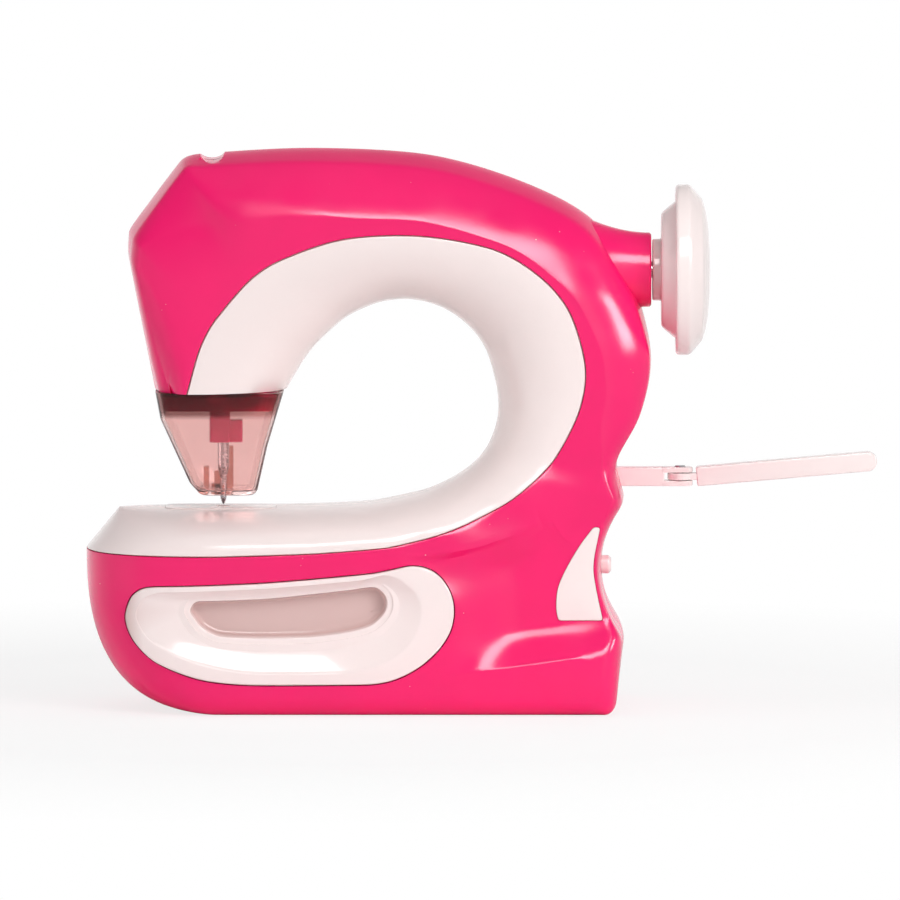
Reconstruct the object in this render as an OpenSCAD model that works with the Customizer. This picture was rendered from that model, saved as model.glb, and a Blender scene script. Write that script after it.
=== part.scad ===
// Toy sewing machine: a two-tone clamshell housing with a working needle drive,
// a handwheel, a pull-out drawer, a push button and a folding spool arm.
// Millimetres. +X points to the handwheel, the front faces -Y, +Z is up.
// The origin is on the table under the middle of the base.

/* [Housing] */
// Length of the base, from the round bow to the heel
base_l = 196; // [180:1:215]
// Half of the depth of the base, from the split plane to its front
base_half = 44; // [41:0.5:48]
// Half of the depth of the arm and the head
arm_half = 31; // [30:0.5:33]
// Half of the depth of the column in the cove beside the drawer
cove_half = 34.5; // [33:0.5:36]
// Height of the colour seam along the base
seam_z = 58; // [56:0.5:62]
// Rise of the bed above the colour seam
bed_rise = 14.6; // [13:0.2:18]
// Height of the throat opening above the bed
throat_h = 75.8; // [70:0.2:84]
// Height of the arm above the throat
arm_h = 55; // [52:0.5:60]
// Gap from the bed to the underside of the head
head_gap = 43.4; // [40:0.2:48]
// Distance of the top of the throat from the middle of the base
throat_x = 17.5; // [14:0.5:20]
// Reach of the throat to the left of its top
throat_left = 42.5; // [40:0.5:46]
// Reach of the throat to the right of its top
throat_right = 34; // [32:0.5:36]
// Width of the column to the right of the throat
column_w = 55.8; // [53:0.2:60]
// Width of the underside of the head
head_w = 48.1; // [46:0.1:52]
// Outward lean of the head's end from its underside to its shoulder
head_lean = 9.6; // [7:0.2:12]
// Inward curve of the waist above the heel
waist_in = 8.8; // [7:0.2:10]
// Wall of the housing shells and panels
wall = 2.4; // [1.8:0.1:2.8]
// Depth of the thread notch in the top of the head
notch_depth = 2.6; // [2:0.2:5]
// Length of the round bow at the left end of the base
bow_l = 48; // [44:1:52]

/* [Handwheel and shafts] */
// Height of the main shaft above the top of the throat
shaft_rise = 10.6; // [9:0.2:13]
// Diameter of the main shaft and the lower shaft
shaft_d = 6; // [4:0.5:7]
// Radius of the handwheel rim
wheel_r = 31; // [26:0.5:36]
// Thickness of the handwheel along its axis
wheel_t = 21; // [18:0.5:24]
// Radius of the neck collar at its free end
collar_r = 13.5; // [12.5:0.5:15]
// Radius of the belt pulleys at the bottom of their groove
pulley_r = 6.5; // [5.5:0.25:8]
// Diameter of the round drive belt
belt_d = 2.4; // [1.6:0.2:3]
// Depth of the lower shaft's axis under the bed
lower_drop = 11; // [10.5:0.5:13]

/* [Gears and motor] */
// Module of the gear teeth
gear_module = 0.8; // [0.7:0.05:0.85]
// Number of teeth on the main gear
gear_teeth = 36; // [30:1:38]
// Number of teeth on the motor pinion
pinion_teeth = 12; // [10:1:14]
// Width of the gear teeth
gear_w = 4; // [3:0.5:5]
// Diameter of the motor can
motor_d = 20; // [16:0.5:22]
// Length of the motor can
motor_l = 19.5; // [16:0.5:22]

/* [Needle drive] */
// Distance of the needle to the left of the middle of the base
needle_left = 48.2; // [46:0.2:50]
// Crank radius, half of the needle's stroke
crank_r = 7; // [5:0.5:7.5]
// Diameter of the needle bar
bar_d = 5; // [4:0.5:6]
// Diameter of the needle above its point
needle_d = 2.4; // [1.6:0.1:2.8]
// Wall of the clear needle guard
guard_wall = 1.6; // [1.2:0.1:2]

/* [Drawer] */
// Thickness of the drawer's front
drawer_t = 3.6; // [3:0.2:4.4]
// Depth of the finger slot in the drawer's front
slot_depth = 8; // [6:0.5:9]
// Wall of the drawer's tray
tray_wall = 1.6; // [1.2:0.1:2.2]
// Depth of the drawer's tray behind its front
tray_l = 62; // [50:1:64]

/* [Base] */
// Thickness of the base plate and the battery door
plate_t = 3; // [2.4:0.2:4]
// Diameter of a battery cell
cell_d = 14.2; // [13.5:0.1:14.5]
// Length of a battery cell
cell_l = 50; // [48:0.5:50.5]

/* [Button and spool arm] */
// Diameter of the push button
button_d = 6.6; // [5:0.2:8]
// Free travel of the push button
button_travel = 2; // [1:0.2:2.4]
// Length of the spool arm from its pin to its tip
arm_l = 72; // [50:1:80]
// Thickness of the spool arm
arm_t = 7; // [6:0.2:8]
// Upward slope of the spool arm in degrees
arm_slope = 5; // [0:1:8]

/* [Fits] */
// Running clearance of a shaft in its bush, on the radius
run_fit = 0.05; // [0.02:0.01:0.1]
// Gap between parts that move past each other
move_gap = 0.4; // [0.3:0.05:0.6]
// Gap along the seams between fixed panels
seam_gap = 0.2; // [0.1:0.05:0.3]

/* [Hidden] */
$fn = 64;

// Colours, as the photograph shows them
magenta = [0.97, 0.16, 0.45];
pale = [0.96, 0.89, 0.88];
smoke = [0.75, 0.5, 0.48, 0.5];
steel = [0.7, 0.7, 0.72];
brass = [0.78, 0.62, 0.34];
nylon = [0.9, 0.9, 0.87];
rubber = [0.15, 0.15, 0.15];

// Landmarks that follow from the driving sizes: the head goes with the bow, the column with the heel
drawn_l = 196;
shift = (base_l - drawn_l) / 2;
bow_x = -base_l / 2;
heel_x = base_l / 2;
bow_c = bow_x + bow_l;
waist_x = heel_x - waist_in;
mid_x = throat_x;
bed_z = seam_z + bed_rise;
throat_z = bed_z + throat_h;
arm_z = throat_z + arm_h;
head_z = bed_z + head_gap;
head_in_x = throat_x - throat_left - shift;
head_x = head_in_x - head_w;
shoulder_x = head_x - head_lean;
throat_in_x = throat_x + throat_right + shift;
column_x = throat_in_x + column_w;
spread = (throat_in_x - head_in_x) / (throat_left + throat_right);
shaft_z = throat_z + shaft_rise;
needle_x = -needle_left - shift;
lower_z = bed_z - lower_drop;
mid_z = (bed_z + throat_z) / 2;

// Outer, seam and throat rails of the housing in the split plane, station by station:
// up the head, along the arm, down the column, round the heel and along the base.
outer_rail = [
    [head_x, head_z], [shoulder_x + 0.1, arm_z - 39.4], [shoulder_x + 0.5, arm_z - 32.4],
    [shoulder_x + 19.2, arm_z - 4.6], [shoulder_x + 26.7, arm_z - 2.1], [mid_x - 34.2 * spread, arm_z],
    [mid_x + 10.1 * spread, arm_z - 2.6], [column_x - 44, arm_z - 13.4], [column_x - 19.3, shaft_z + 16.5],
    [column_x - 5.8, shaft_z - 7], [column_x, mid_z + 17.5], [column_x - 3.5, mid_z - 2.5],
    [column_x - 12.3, bed_z + 17.7], [heel_x - 0.2, bed_z + 2.9], [waist_x, seam_z - 6.5],
    [heel_x - 0.2, 27], [heel_x - 3.5, 5], [heel_x - 8, 0], [heel_x - 9.5, 0], [mid_x + 7.5 * spread, 0],
    [bow_c, 0]
];
seam_rail = [
    [head_x + 12, head_z], [head_x + 16.3, head_z + 15.5], [head_x + 21.6, head_z + 26],
    [mid_x - 56.5 * spread, throat_z + 8.4], [mid_x - 45.5 * spread, throat_z + 15.9],
    [mid_x - 22.5 * spread, throat_z + 23.8],
    [mid_x + 5.8 * spread, throat_z + 25.1], [mid_x + 32.5 * spread, throat_z + 20.2],
    [throat_in_x + 15, throat_z + 10.5],
    [throat_in_x + 26, throat_z - 2.6], [throat_in_x + 31.7, mid_z + 15.5],
        [throat_in_x + 29.5, mid_z - 0.5],
    [throat_in_x + 21.5, bed_z + 21.4], [throat_in_x + 14.5, bed_z + 13.4],
        [mid_x + 37.5 * spread, bed_z + 4.6],
    [mid_x + 22.5 * spread, seam_z + 11.5], [mid_x + 10.5 * spread, seam_z + 7.2],
    [mid_x - 0.5 * spread, seam_z + 4.5],
    [mid_x - 7.5 * spread, seam_z + 3.2], [mid_x - 32.5 * spread, seam_z + 1.2], [bow_c, seam_z]
];
throat_rail = [
    [head_in_x, head_z], [head_in_x + 5.5, head_z + 9.3], [mid_x - 32 * spread, throat_z - 16.4],
    [mid_x - 22.5 * spread, throat_z - 7.6], [mid_x - 16 * spread, throat_z - 3.9],
    [mid_x - 7.5 * spread, throat_z - 0.8],
    [mid_x + 3 * spread, throat_z - 0.1], [mid_x + 14 * spread, throat_z - 3.1],
        [throat_in_x - 10.5, throat_z - 9.8],
    [throat_in_x - 4.2, throat_z - 18.6], [throat_in_x - 0.3, mid_z + 5.5], [throat_in_x, mid_z - 5],
    [throat_in_x - 3.2, bed_z + 23.1], [throat_in_x - 8.5, bed_z + 16.1],
        [mid_x + 17.5 * spread, bed_z + 10.4],
    [mid_x + 8.5 * spread, bed_z + 6.2], [mid_x - 0.5 * spread, bed_z + 3.8],
        [mid_x - 9.5 * spread, bed_z + 1.9],
    [mid_x - 17.5 * spread, bed_z + 1], [mid_x - 37.5 * spread, bed_z + 0.2], [bow_c, bed_z]
];
last = len(outer_rail) - 1;

// Section sizes along the rails: [station, size] pairs
lip_half = base_half - 10;
edge_keys = [[0, 23], [3, 21], [5, 17], [8, 17], [10, 19], [12, 26], [14, 27], [15, 30], [16, lip_half],
    [17, base_half - 8], [last, base_half - 8]];
inset_keys = [[0, 2.2], [3, 2.2], [5, 1], [12, 1.2], [15, 1.5], [17, 0], [last, 0]];
band_keys = [[0, 6], [2, 6.5], [3, 24], [4, 28], [5, 24], [6, 22], [7, 22], [8, 24], [9, 20], [10, 17],
    [11, 14],
    [12, 5], [13, 2.5], [14, 2.5], [15, 9], [last, 9]];
crease_keys = [[0, arm_half], [10, arm_half], [12, cove_half - 1.5], [13, cove_half], [14, cove_half],
    [15, base_half - 2], [16, base_half - 0.5], [last, base_half - 0.5]];
seam_keys = [[0, arm_half], [10, arm_half], [12, arm_half + 1.5], [14, cove_half + 2.5],
    [16, base_half - 1.5],
    [18, base_half], [last, base_half]];
round_keys = [[0, 0.5], [4, 0.4], [5, 0.25], [8, 0.4], [10, 0.7], [14, 0.7], [15, 1], [last, 1]];
notch_keys = [[4, 0], [4.08, notch_depth * 0.85], [4.13, notch_depth], [4.18, notch_depth * 0.85],
    [4.26, 0]];
lip_keys = [[17, 0], [18, lip_half]];
crown_keys = [[0, 2], [13, 2], [18, 2.4], [last, 2.4]];

// Stations where the housing's sections are drawn, and the steps round the bow
stations = [0, 0.5, 1, 1.5, 2, 2.5, 3, 3.5, 4, 4.08, 4.13, 4.18, 4.26, 4.6, 5, 5.5, 6, 6.5, 7, 7.5, 8,
    8.5, 9, 9.5,
    10, 10.5, 11, 11.5, 12, 12.3, 12.7, 13, 13.3, 13.7, 14, 14.3, 14.6, 14.8, 15, 15.2, 15.4, 15.6,
        15.8, 16, 16.3,
    16.6, 17, 18, 18.2, 18.4, 18.6, 18.8, 19, last];
bow_steps = 8;
bow_power = 2.4;
bow_foot = 5;
flank = 12;

// The cove between the drawer, the plinth and the ribbon under the seam
cove_x = heel_x - 60;
cove_run = 20;
cove_rise = 11;
plinth_z = 15.5;
plinth_slope = 0.14;
ribbon_x = heel_x - 72;
ribbon_fade = 6;
ribbon_keys = [[12, 20], [14, 20], [15, 16], [16, 12], [17, 8.5], [18, 6], [19, 4], [last, 4]];

function clamp01(t) = min(max(t, 0), 1);
function mix(a, b, t) = a + (b - a) * t;
function smooth(t) = let (u = clamp01(t)) u * u * (3 - 2 * u);
function ease(t) = 1 - pow(1 - clamp01(t), 2);
function unit(v) = v / norm(v);

// A smooth value between the keys of a [station, size] table
function key(table, s) =
    s <= table[0][0] ? table[0][1]
    : s >= table[len(table) - 1][0] ? table[len(table) - 1][1]
    : let (i = max([for (k = [0 : len(table) - 2]) if (table[k][0] <= s) k]))
      mix(table[i][1], table[i + 1][1], smooth((s - table[i][0]) / (table[i + 1][0] - table[i][0])));

// A smooth curve through the points of a rail, with tangents as long as the shorter neighbour
function slope_at(p, i) =
    let (n = len(p) - 1, a = p[max(i - 1, 0)], b = p[min(i + 1, n)], la = norm(p[i] - a),
        lb = norm(b - p[i]))
    unit(b - a) * (i == 0 ? lb : i == n ? la : min(la, lb));
function hermite(a, ta, b, tb, t) =
    a * (2 * t * t * t - 3 * t * t + 1) + ta * (t * t * t - 2 * t * t + t)
    + b * (3 * t * t - 2 * t * t * t) + tb * (t * t * t - t * t);
function rail(p, s) =
    let (n = len(p) - 1, i = min(floor(s), n - 1))
    hermite(p[i], slope_at(p, i), p[i + 1], slope_at(p, i + 1), s - i);

// A smooth closed curve through a ring of points, with a number of steps between neighbours
function loop(p, steps) =
    let (n = len(p))
    [for (i = [0 : n - 1], k = [0 : steps - 1])
        let (a = p[(i + n - 1) % n], b = p[i], c = p[(i + 1) % n], d = p[(i + 2) % n], l = norm(c - b))
        hermite(b, unit(c - a) * min(l, norm(b - a)), c, unit(d - b) * min(l, norm(d - c)), k / steps)];

// A ring of points moved outwards by a distance
function grow(p, by) =
    let (n = len(p))
    [for (i = [0 : n - 1])
        let (t = unit(p[(i + 1) % n] - p[(i + n - 1) % n])) p[i] + [t[1], -t[0]] * by];

// Depth taken out of the front by the cove at a point of the split plane
function plinth_at(x) = plinth_z + plinth_slope * (x - cove_x);
function cove(x, z) =
    let (u = max(x - ribbon_x, 0), ribbon_z = seam_z + 0.1 * u + 0.0042 * u * u)
    smooth((x - cove_x) / cove_run) * ease((z - plinth_at(x)) / cove_rise)
        * ease((ribbon_z - z) / ribbon_fade);

// Places across a section's face from its band to the seam, with one on the plinth's edge
// and one on the ribbon's
function face_steps(s, o, dir, band, l) =
    let (
        plinth = (plinth_at(o[0]) - o[1]) / (dir[1] - plinth_slope * dir[0]),
        low = min(max(plinth, mix(band, l, 0.12)), mix(band, l, 0.5)),
        high = max(l - key(ribbon_keys, s), mix(low, l, 0.6)))
    concat([(band + low) / 2], [for (i = [0 : 6]) mix(low, high, pow(i / 6, 1.5))], [(high + l) / 2, l]);

// The shell's outer section at a station: [distance from the outer rail, depth] pairs
function shell_profile(s) =
    let (
        o = rail(outer_rail, s), b = rail(seam_rail, s), l = norm(b - o), dir = (b - o) / l,
        edge = key(edge_keys, s), inset = key(inset_keys, s), band = key(band_keys, s),
        crease = key(crease_keys, s), seam = key(seam_keys, s), k = key(round_keys, s),
        cut = key(notch_keys, s), start = key(lip_keys, s),
        raw = concat(
            [[cut, start], [cut + inset / 2, mix(start, edge, 0.6)]],
            [for (a = [0 : 22.5 : 90]) [
                mix(cut + inset, band, mix(a / 90, 1 - cos(a), k)),
                    mix(edge, crease, mix(a / 90, sin(a), k))]],
            [for (q = face_steps(s, o, dir, band, l - seam_gap))
                [q, mix(crease, seam, (q - band) / (l - seam_gap - band))]])
    )
    [for (q = raw)
        let (p = o + dir * q[0], c = cove(p[0], p[1])) [q[0], q[1] - c * max(q[1] - cove_half, 0)]];

// The panel's outer section at a station: a quarter of a superellipse from the seam to the throat
function panel_profile(s) =
    let (l = norm(rail(throat_rail, s) - rail(seam_rail, s)), seam = key(seam_keys, s),
        k = 2 / key(crown_keys, s))
    [for (a = [0 : 15 : 90]) [max(l * pow(sin(a), k), seam_gap), seam * pow(cos(a), k)]];

// A section moved inwards by the wall
function inward(q, by) =
    let (n = len(q) - 1)
    [for (i = [0 : n])
        let (t = unit(q[min(i + 1, n)] - q[max(i - 1, 0)]))
        i == n && q[n][1] < 0.01 ? [q[n][0] - by, 0] : q[i] + [t[1], -t[0]] * by];
function reversed(p) = [for (i = [len(p) - 1 : -1 : 0]) p[i]];

// Closed rings of the two sections, in [distance, depth] pairs
function shell_ring(s, t) = let (q = shell_profile(s)) concat(q, reversed(inward_shell(q, t)));
function inward_shell(q, t) =
    let (n = len(q) - 1, p = inward(q, t)) [for (i = [0 : n]) i == 0 ? [q[0][0] + t, q[0][1]] : p[i]];
lip_l = 3;
lip_t = 1.2;
function panel_ring(s) =
    let (
        q = panel_profile(s), seam = key(seam_keys, s), n = len(q) - 1, low = seam - wall - seam_gap - 0.3,
        inner = inward(q, wall))
    concat(q, [for (i = [n : -1 : 2]) inner[i]],
        [[lip_l, low - lip_t], [-lip_l, low - lip_t], [-lip_l, low], [seam_gap, low]]);

// The bow's length at a height, for the shell below the seam and for the panel above it
function bow_at(z) =
    let (f = clamp01(z / seam_z)) mix(bow_foot, bow_l, pow(1 - pow(1 - f, 2.5), 0.4));
function flank_at(z) = bow_l - flank * clamp01((z - seam_z) / bed_rise);

// Points of the housing: a ring laid along the line between two rails, and a ring swung round the bow
function laid(ring, from, to) =
    let (dir = unit(to - from)) [for (q = ring) let (p = from + dir * q[0]) [p[0], -q[1], p[1]]];
function swung(ring, reach, foot, angle) =
    let (a = pow(sin(angle), 2 / bow_power), d = pow(cos(angle), 2 / bow_power))
    [for (i = [0 : len(ring) - 1])
        let (z = foot + ring[i][0]) [bow_c - reach[i] * a, -ring[i][1] * d, z]];

// A closed solid through rings that all have the same number of points
module loft(rings) {
    n = len(rings[0]);
    m = len(rings);
    points = [for (r = rings) each r];
    sides = [for (i = [0 : m - 2], j = [0 : n - 1])
        let (a = i * n + j, b = i * n + (j + 1) % n) each [[a, b + n, b], [a, a + n, b + n]]];
    caps = [[for (j = [0 : n - 1]) j], [for (j = [n - 1 : -1 : 0]) (m - 1) * n + j]];
    polyhedron(points, concat(caps, sides));
}

function shell_reach(ring) =
    let (h = len(ring) / 2)
    [for (i = [0 : len(ring) - 1])
        max(bow_at(ring[i][0]) - max(lip_half + 2 - ring[i][1], 0) - (i < h ? 0 : 1.5 * wall), 2)];
function panel_reach(ring) =
    let (m = len(panel_profile(last)), n = len(ring), lip = bow_l - 1.5 * wall - seam_gap - 0.1)
    [for (i = [0 : n - 1])
        i < m ? flank_at(seam_z + ring[i][0])
        : i < n - 4 ? flank_at(seam_z + ring[i][0] + wall) - wall
        : i < n - 2 ? lip - lip_t : lip];

module half_shell() {
    foot = shell_ring(last, wall);
    reach = shell_reach(foot);
    loft(concat(
        [for (s = stations) laid(shell_ring(s, wall), rail(outer_rail, s), rail(seam_rail, s))],
        [for (i = [1 : bow_steps]) swung(foot, reach, 0, 90 * i / bow_steps)]));
}

module half_panel() {
    foot = panel_ring(last);
    reach = panel_reach(foot);
    loft(concat(
        [for (s = stations) laid(panel_ring(s), rail(seam_rail, s), rail(throat_rail, s))],
        [for (i = [1 : bow_steps]) swung(foot, reach, seam_z, 90 * i / bow_steps)]));
}

// Plain building shapes along the axes
module box(low, high) translate(low) cube(high - low);
module rod_x(x0, x1, r, y = 0, z = 0) translate([x0, y, z]) rotate([0, 90, 0]) cylinder(r = r, h = x1 - x0);
module rod_y(y0, y1, r, x = 0, z = 0) translate([x, y1, z]) rotate([90, 0, 0]) cylinder(r = r, h = y1 - y0);
module rod_z(z0, z1, r, x = 0, y = 0) translate([x, y, z0]) cylinder(r = r, h = z1 - z0);
module ring_x(x0, x1, r_out, r_in, y = 0, z = 0) difference() {
    rod_x(x0, x1, r_out, y, z);
    rod_x(x0 - 1, x1 + 1, r_in, y, z);
}
// A profile of [radius, x] pairs turned about a line along X
module turned_x(profile, z) translate([0, 0, z]) rotate([0, 90, 0]) rotate_extrude() polygon(profile);
// An outline of [x, z] pairs as a plate between two depths
module plate_y(outline, y0, y1) translate([0, y1, 0]) rotate([90, 0,
    0]) linear_extrude(y1 - y0) polygon(outline);
// An outline of [y, z] pairs as a plate between two places along X
module plate_x(outline, x0, x1) translate([x0, 0, 0]) rotate([90, 0,
    90]) linear_extrude(x1 - x0) polygon(outline);

// Places along the shafts, from the crank at the head to the wheel
shaft_r = shaft_d / 2;
bush_r = shaft_r + 2;
bush_l = 9;
gear_tip = gear_module * (gear_teeth + 2) / 2;
frame_y = gear_tip + 1.8;
frame_t = 2.5;
frame_low_share = min(0.5, 0.9 * sqrt(1 - pow((frame_y + frame_t + wall + 1) / arm_half, 2)));
belt_x = waist_x - 11.6;
pulley_half = 2.8;
post_x1 = belt_x - pulley_half - 1.2;
post_x0 = throat_in_x + 29.5 * (1 - 1.18 * frame_low_share);
motor_x1 = belt_x - pulley_half - 0.4;
motor_x0 = motor_x1 - motor_l;
gear_x1 = motor_x0 - 2.2;
gear_x0 = gear_x1 - gear_w;
motor_z = shaft_z - gear_module * (gear_teeth + pinion_teeth) / 2;
motor_r = motor_d / 2;
crank_x1 = needle_x + 15;
crank_t = 4;
pin_l = 4;
yoke_x1 = crank_x1 - crank_t - pin_l - move_gap;
yoke_t = 3.8;
main_bush_x = crank_x1 + 7;
looper_x1 = needle_x + 5;
looper_bush_x = looper_x1 + 11;
lower_bush_x = post_x1 - bush_l - 0.4;
collar_l = 22.8;
collar_x0 = column_x - collar_l;
wheel_x0 = column_x + move_gap;

// The neck collar's flare, as [radius, x] pairs, larger by a margin
function flare(by) = [for (i = [0 : 6]) [collar_r + 5.2 * pow(1 - i / 6, 2) + by,
    collar_x0 + collar_l * i / 6]];
module collar_space() turned_x(concat([[0, collar_x0 - 1]], [[flare(seam_gap)[0][0], collar_x0 - 1]],
    flare(seam_gap),
    [[flare(seam_gap)[6][0], column_x + 2], [0, column_x + 2]]), shaft_z);

// Outlines on the drawer's front: its edge, its dish and its finger slot
drawer_x = heel_x - 62.4;
drawer_l = drawer_x - bow_x - 14.6;
drawn_drawer = 119;
span = drawer_l / drawn_drawer;
drawer_z = 11.5;
drawer_edge = [for (p = [[-119, 23.5], [-117, 31], [-113, 34.4], [-107, 35.4], [-68, 37], [-30, 40.4],
    [-15.5, 43.2], [-7.5, 41.2], [-2.1, 35.3], [0, 28], [-1.2, 19.9], [-5.7, 12.7], [-12.9, 6.3],
        [-22, 1.8],
    [-32, 0.2], [-73, 0], [-92, 2], [-108, 8], [-116, 15.5]]) [drawer_x + p[0] * span, drawer_z + p[1]]];
drawer_dish = [for (p = [[-115, 24], [-113.5, 29.5], [-110.5, 32], [-105, 33.4], [-68, 35], [-34, 38],
    [-26, 39.8], [-20, 38.4], [-14.5, 33.8], [-12.4, 28.5], [-13.2, 21.5], [-17, 14.8], [-24, 9.2],
        [-33, 6],
    [-42, 4.6], [-72, 4.4], [-88, 6.8], [-101, 11], [-110.5, 16.5]]) [drawer_x + p[0] * span,
        drawer_z + p[1]]];
drawer_slot = [for (p = [[-95.3, 26.8], [-94, 29.2], [-91.5, 30], [-85, 30.1], [-66, 31], [-40, 33.8],
    [-31, 35], [-27.6, 34.6], [-25, 32], [-24.4, 29], [-25.6, 25.6], [-30, 21.6], [-37, 19.4], [-46, 18],
    [-54, 17.2], [-72, 16.9], [-85, 17.6], [-91, 20.6], [-94.4, 24.8]]) [drawer_x + p[0] * span,
        drawer_z + p[1]]];
drawer_steps = 3;

// Depth of the base's front at a place along it, round the bow at the left
function front_half(x) =
    let (u = clamp01((bow_c - x) / bow_l)) base_half * pow(1 - pow(u, bow_power), 1 / bow_power);
function at_depth(outline, back) = [for (p = outline) [p[0], back - front_half(p[0]), p[1]]];

// The fin panel beside the waist
fin_left = [[-15.7, 34.2], [-16.5, 38.2], [-16.1, 45.1], [-13.6, 51.7], [-8.5, 60.7], [-3.2, 67.4]];
fin_right = [[-0.7, 67], [-2.7, 57.5], [-3, 51.7], [-1.6, 43.3], [0.4, 34.2]];
fin_t = 1.4;
fin_outline = [for (p = concat(
    [for (s = [0 : 0.5 : len(fin_left) - 1]) rail(fin_left, s)],
    [for (s = [0 : 0.5 : len(fin_right) - 1]) rail(fin_right, s)])) [waist_x + p[0], p[1]]];
fin_floor = cove_half - 0.8;
module fin_space() plate_y(grow(reversed(fin_outline), seam_gap), -cove_half - 9, -fin_floor);

// The push button in the waist and the spool arm's bracket in the end wall
button_z = seam_z - 6.5;
button_r = button_d / 2;
button_out = 3.6;
button_in = wall + 3;
switch_x1 = waist_x - button_in - button_travel - 0.3;
bracket_z = bed_z + 9.9;
bracket_y = 13.5;
bracket_half = 3.4;
module button_space() rod_x(waist_x - 12, waist_x + 6, button_r + move_gap, 0, button_z);
module bracket_space() box(
    [column_x - 26, bracket_y - bracket_half - seam_gap, bracket_z - bracket_half - seam_gap],
    [column_x, bracket_y + bracket_half + seam_gap, bracket_z + bracket_half + seam_gap]);

// Screws through the rear shell: [x, z, depth of the face there]
screw_r = 2.9;
case_screw_at = [
    [head_x + 5.5, head_z + 24, arm_half], [head_x + 2, head_z + 58, arm_half],
    [mid_x - 46, 22, base_half], [mid_x + 8, 22, base_half], [mid_x + 8, seam_z - 10, base_half]];
module case_screw_spaces() for (p = case_screw_at)
    rod_y(p[2] - 8, p[2] + 4, screw_r + run_fit, p[0], p[1]);

// The bed's pocket for the needle plate
needle_plate_l = 40;
needle_plate_w = 20;
needle_plate_t = 1.5;
needle_plate_low = bed_z - 1.2;
module needle_plate_outline(by) translate([needle_x - 1, 0]) {
    square([needle_plate_l + 2 * by, needle_plate_w - 10 + 2 * by], center = true);
    square([needle_plate_l - 10 + 2 * by, needle_plate_w + 2 * by], center = true);
    for (i = [-1, 1], j = [-1, 1])
        translate([i * (needle_plate_l / 2 - 5), j * (needle_plate_w / 2 - 5)]) circle(r = 5 + by);
}
module bed_space() {
    translate([0, 0, needle_plate_low - seam_gap]) linear_extrude(10) needle_plate_outline(seam_gap);
    rod_z(bed_z - 6, bed_z + 1, 3.4, needle_x);
}

module front_shell() color(magenta) difference() {
    half_shell();
    plate_y(grow(loop(drawer_edge, drawer_steps), -move_gap), -base_half - 5,
        drawer_t + 0.6 - front_half(drawer_x - drawer_l));
    fin_space();
    collar_space();
    button_space();
}
module rear_shell() color(magenta) difference() {
    mirror([0, 1, 0]) half_shell();
    mirror([0, 1, 0]) fin_space();
    collar_space();
    button_space();
    bracket_space();
    case_screw_spaces();
}
module front_throat_panel() color(pale) difference() {
    half_panel();
    bed_space();
}
module rear_throat_panel() color(pale) difference() {
    mirror([0, 1, 0]) half_panel();
    bed_space();
}
module front_fin() color(pale) plate_y(fin_outline, -fin_floor - fin_t, -fin_floor - 0.1);
module rear_fin() color(pale) mirror([0, 1, 0]) front_fin();

// Base plate, battery compartment and door
plate_x1 = heel_x - 11.6;
cell_pitch = cell_d + 0.3;
contact_t = 1.5;
case_t = 1.6;
case_x1 = plate_x1 - 1.2;
case_x0 = case_x1 - cell_l - 2 * contact_t - 2 * case_t;
case_y1 = frame_y - 2;
door_margin = 5;
cells = floor((case_y1 + lip_half - door_margin) / cell_pitch);
case_y0 = case_y1 - cells * cell_pitch - 2 * case_t;
case_z1 = plate_t + cell_d + 1 + case_t;
cell_z = plate_t + 0.5 + cell_d / 2;
function cell_y(i) = case_y0 + case_t + cell_pitch * (i + 0.5);
door_tab = 7;
door_low = [case_x0 - door_tab, case_y0 + case_t];
door_high = [case_x1 - case_t, case_y1 - case_t];
door_mid_y = (door_low[1] + door_high[1]) / 2;
foot_y0 = case_y1 + 1;
foot_y1 = frame_y + frame_t + 5;
foot_t = 2.5;
foot_screws = [post_x0 + 3, post_x1 - 3];
frame_screw_r = 1.3;
foot_screw_y = foot_y1 - 2.5;

module base_plate() color(magenta) difference() {
    linear_extrude(plate_t) polygon(concat(
        [[plate_x1, -lip_half + seam_gap], [plate_x1, lip_half - seam_gap]],
        [for (a = [90 : -15 : -90]) [
            bow_c - (bow_foot - 2 - seam_gap) * pow(cos(a), 2 / bow_power),
            (lip_half - seam_gap) * sign(a) * pow(abs(sin(a)), 2 / bow_power)]]));
    translate([door_low[0] - seam_gap, door_low[1] - seam_gap, -1])
        cube([door_high[0] - door_low[0] + 2 * seam_gap, door_high[1] - door_low[1] + 2 * seam_gap,
            plate_t + 2]);
    for (x = foot_screws) rod_z(-1, plate_t + 1, frame_screw_r + run_fit, x, foot_screw_y);
}
module battery_door() color(magenta) difference() {
    box([door_low[0], door_low[1], 0], [door_high[0], door_high[1], plate_t - 0.1]);
    rod_z(-1, plate_t + 1, frame_screw_r + run_fit, door_low[0] + door_tab / 2, door_mid_y);
    rod_z(-1, 1.2, 2.5, door_low[0] + door_tab / 2, door_mid_y);
}
module door_screw() color(steel) translate([door_low[0] + door_tab / 2, door_mid_y, 0]) {
    rod_z(0.2, 1.1, 2.3);
    rod_z(1, plate_t + 6, frame_screw_r);
}
module battery_box() color(nylon) {
    difference() {
        box([case_x0, case_y0, plate_t], [case_x1, case_y1, case_z1]);
        box([case_x0 + case_t, case_y0 + case_t, plate_t - 1],
            [case_x1 - case_t, case_y1 - case_t, case_z1 - case_t]);
    }
    difference() {
        box([case_x0 - door_tab, door_mid_y - 4, plate_t], [case_x0, door_mid_y + 4, plate_t + 8]);
        rod_z(plate_t - 1, plate_t + 7, frame_screw_r + run_fit, door_low[0] + door_tab / 2, door_mid_y);
    }
}
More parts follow.
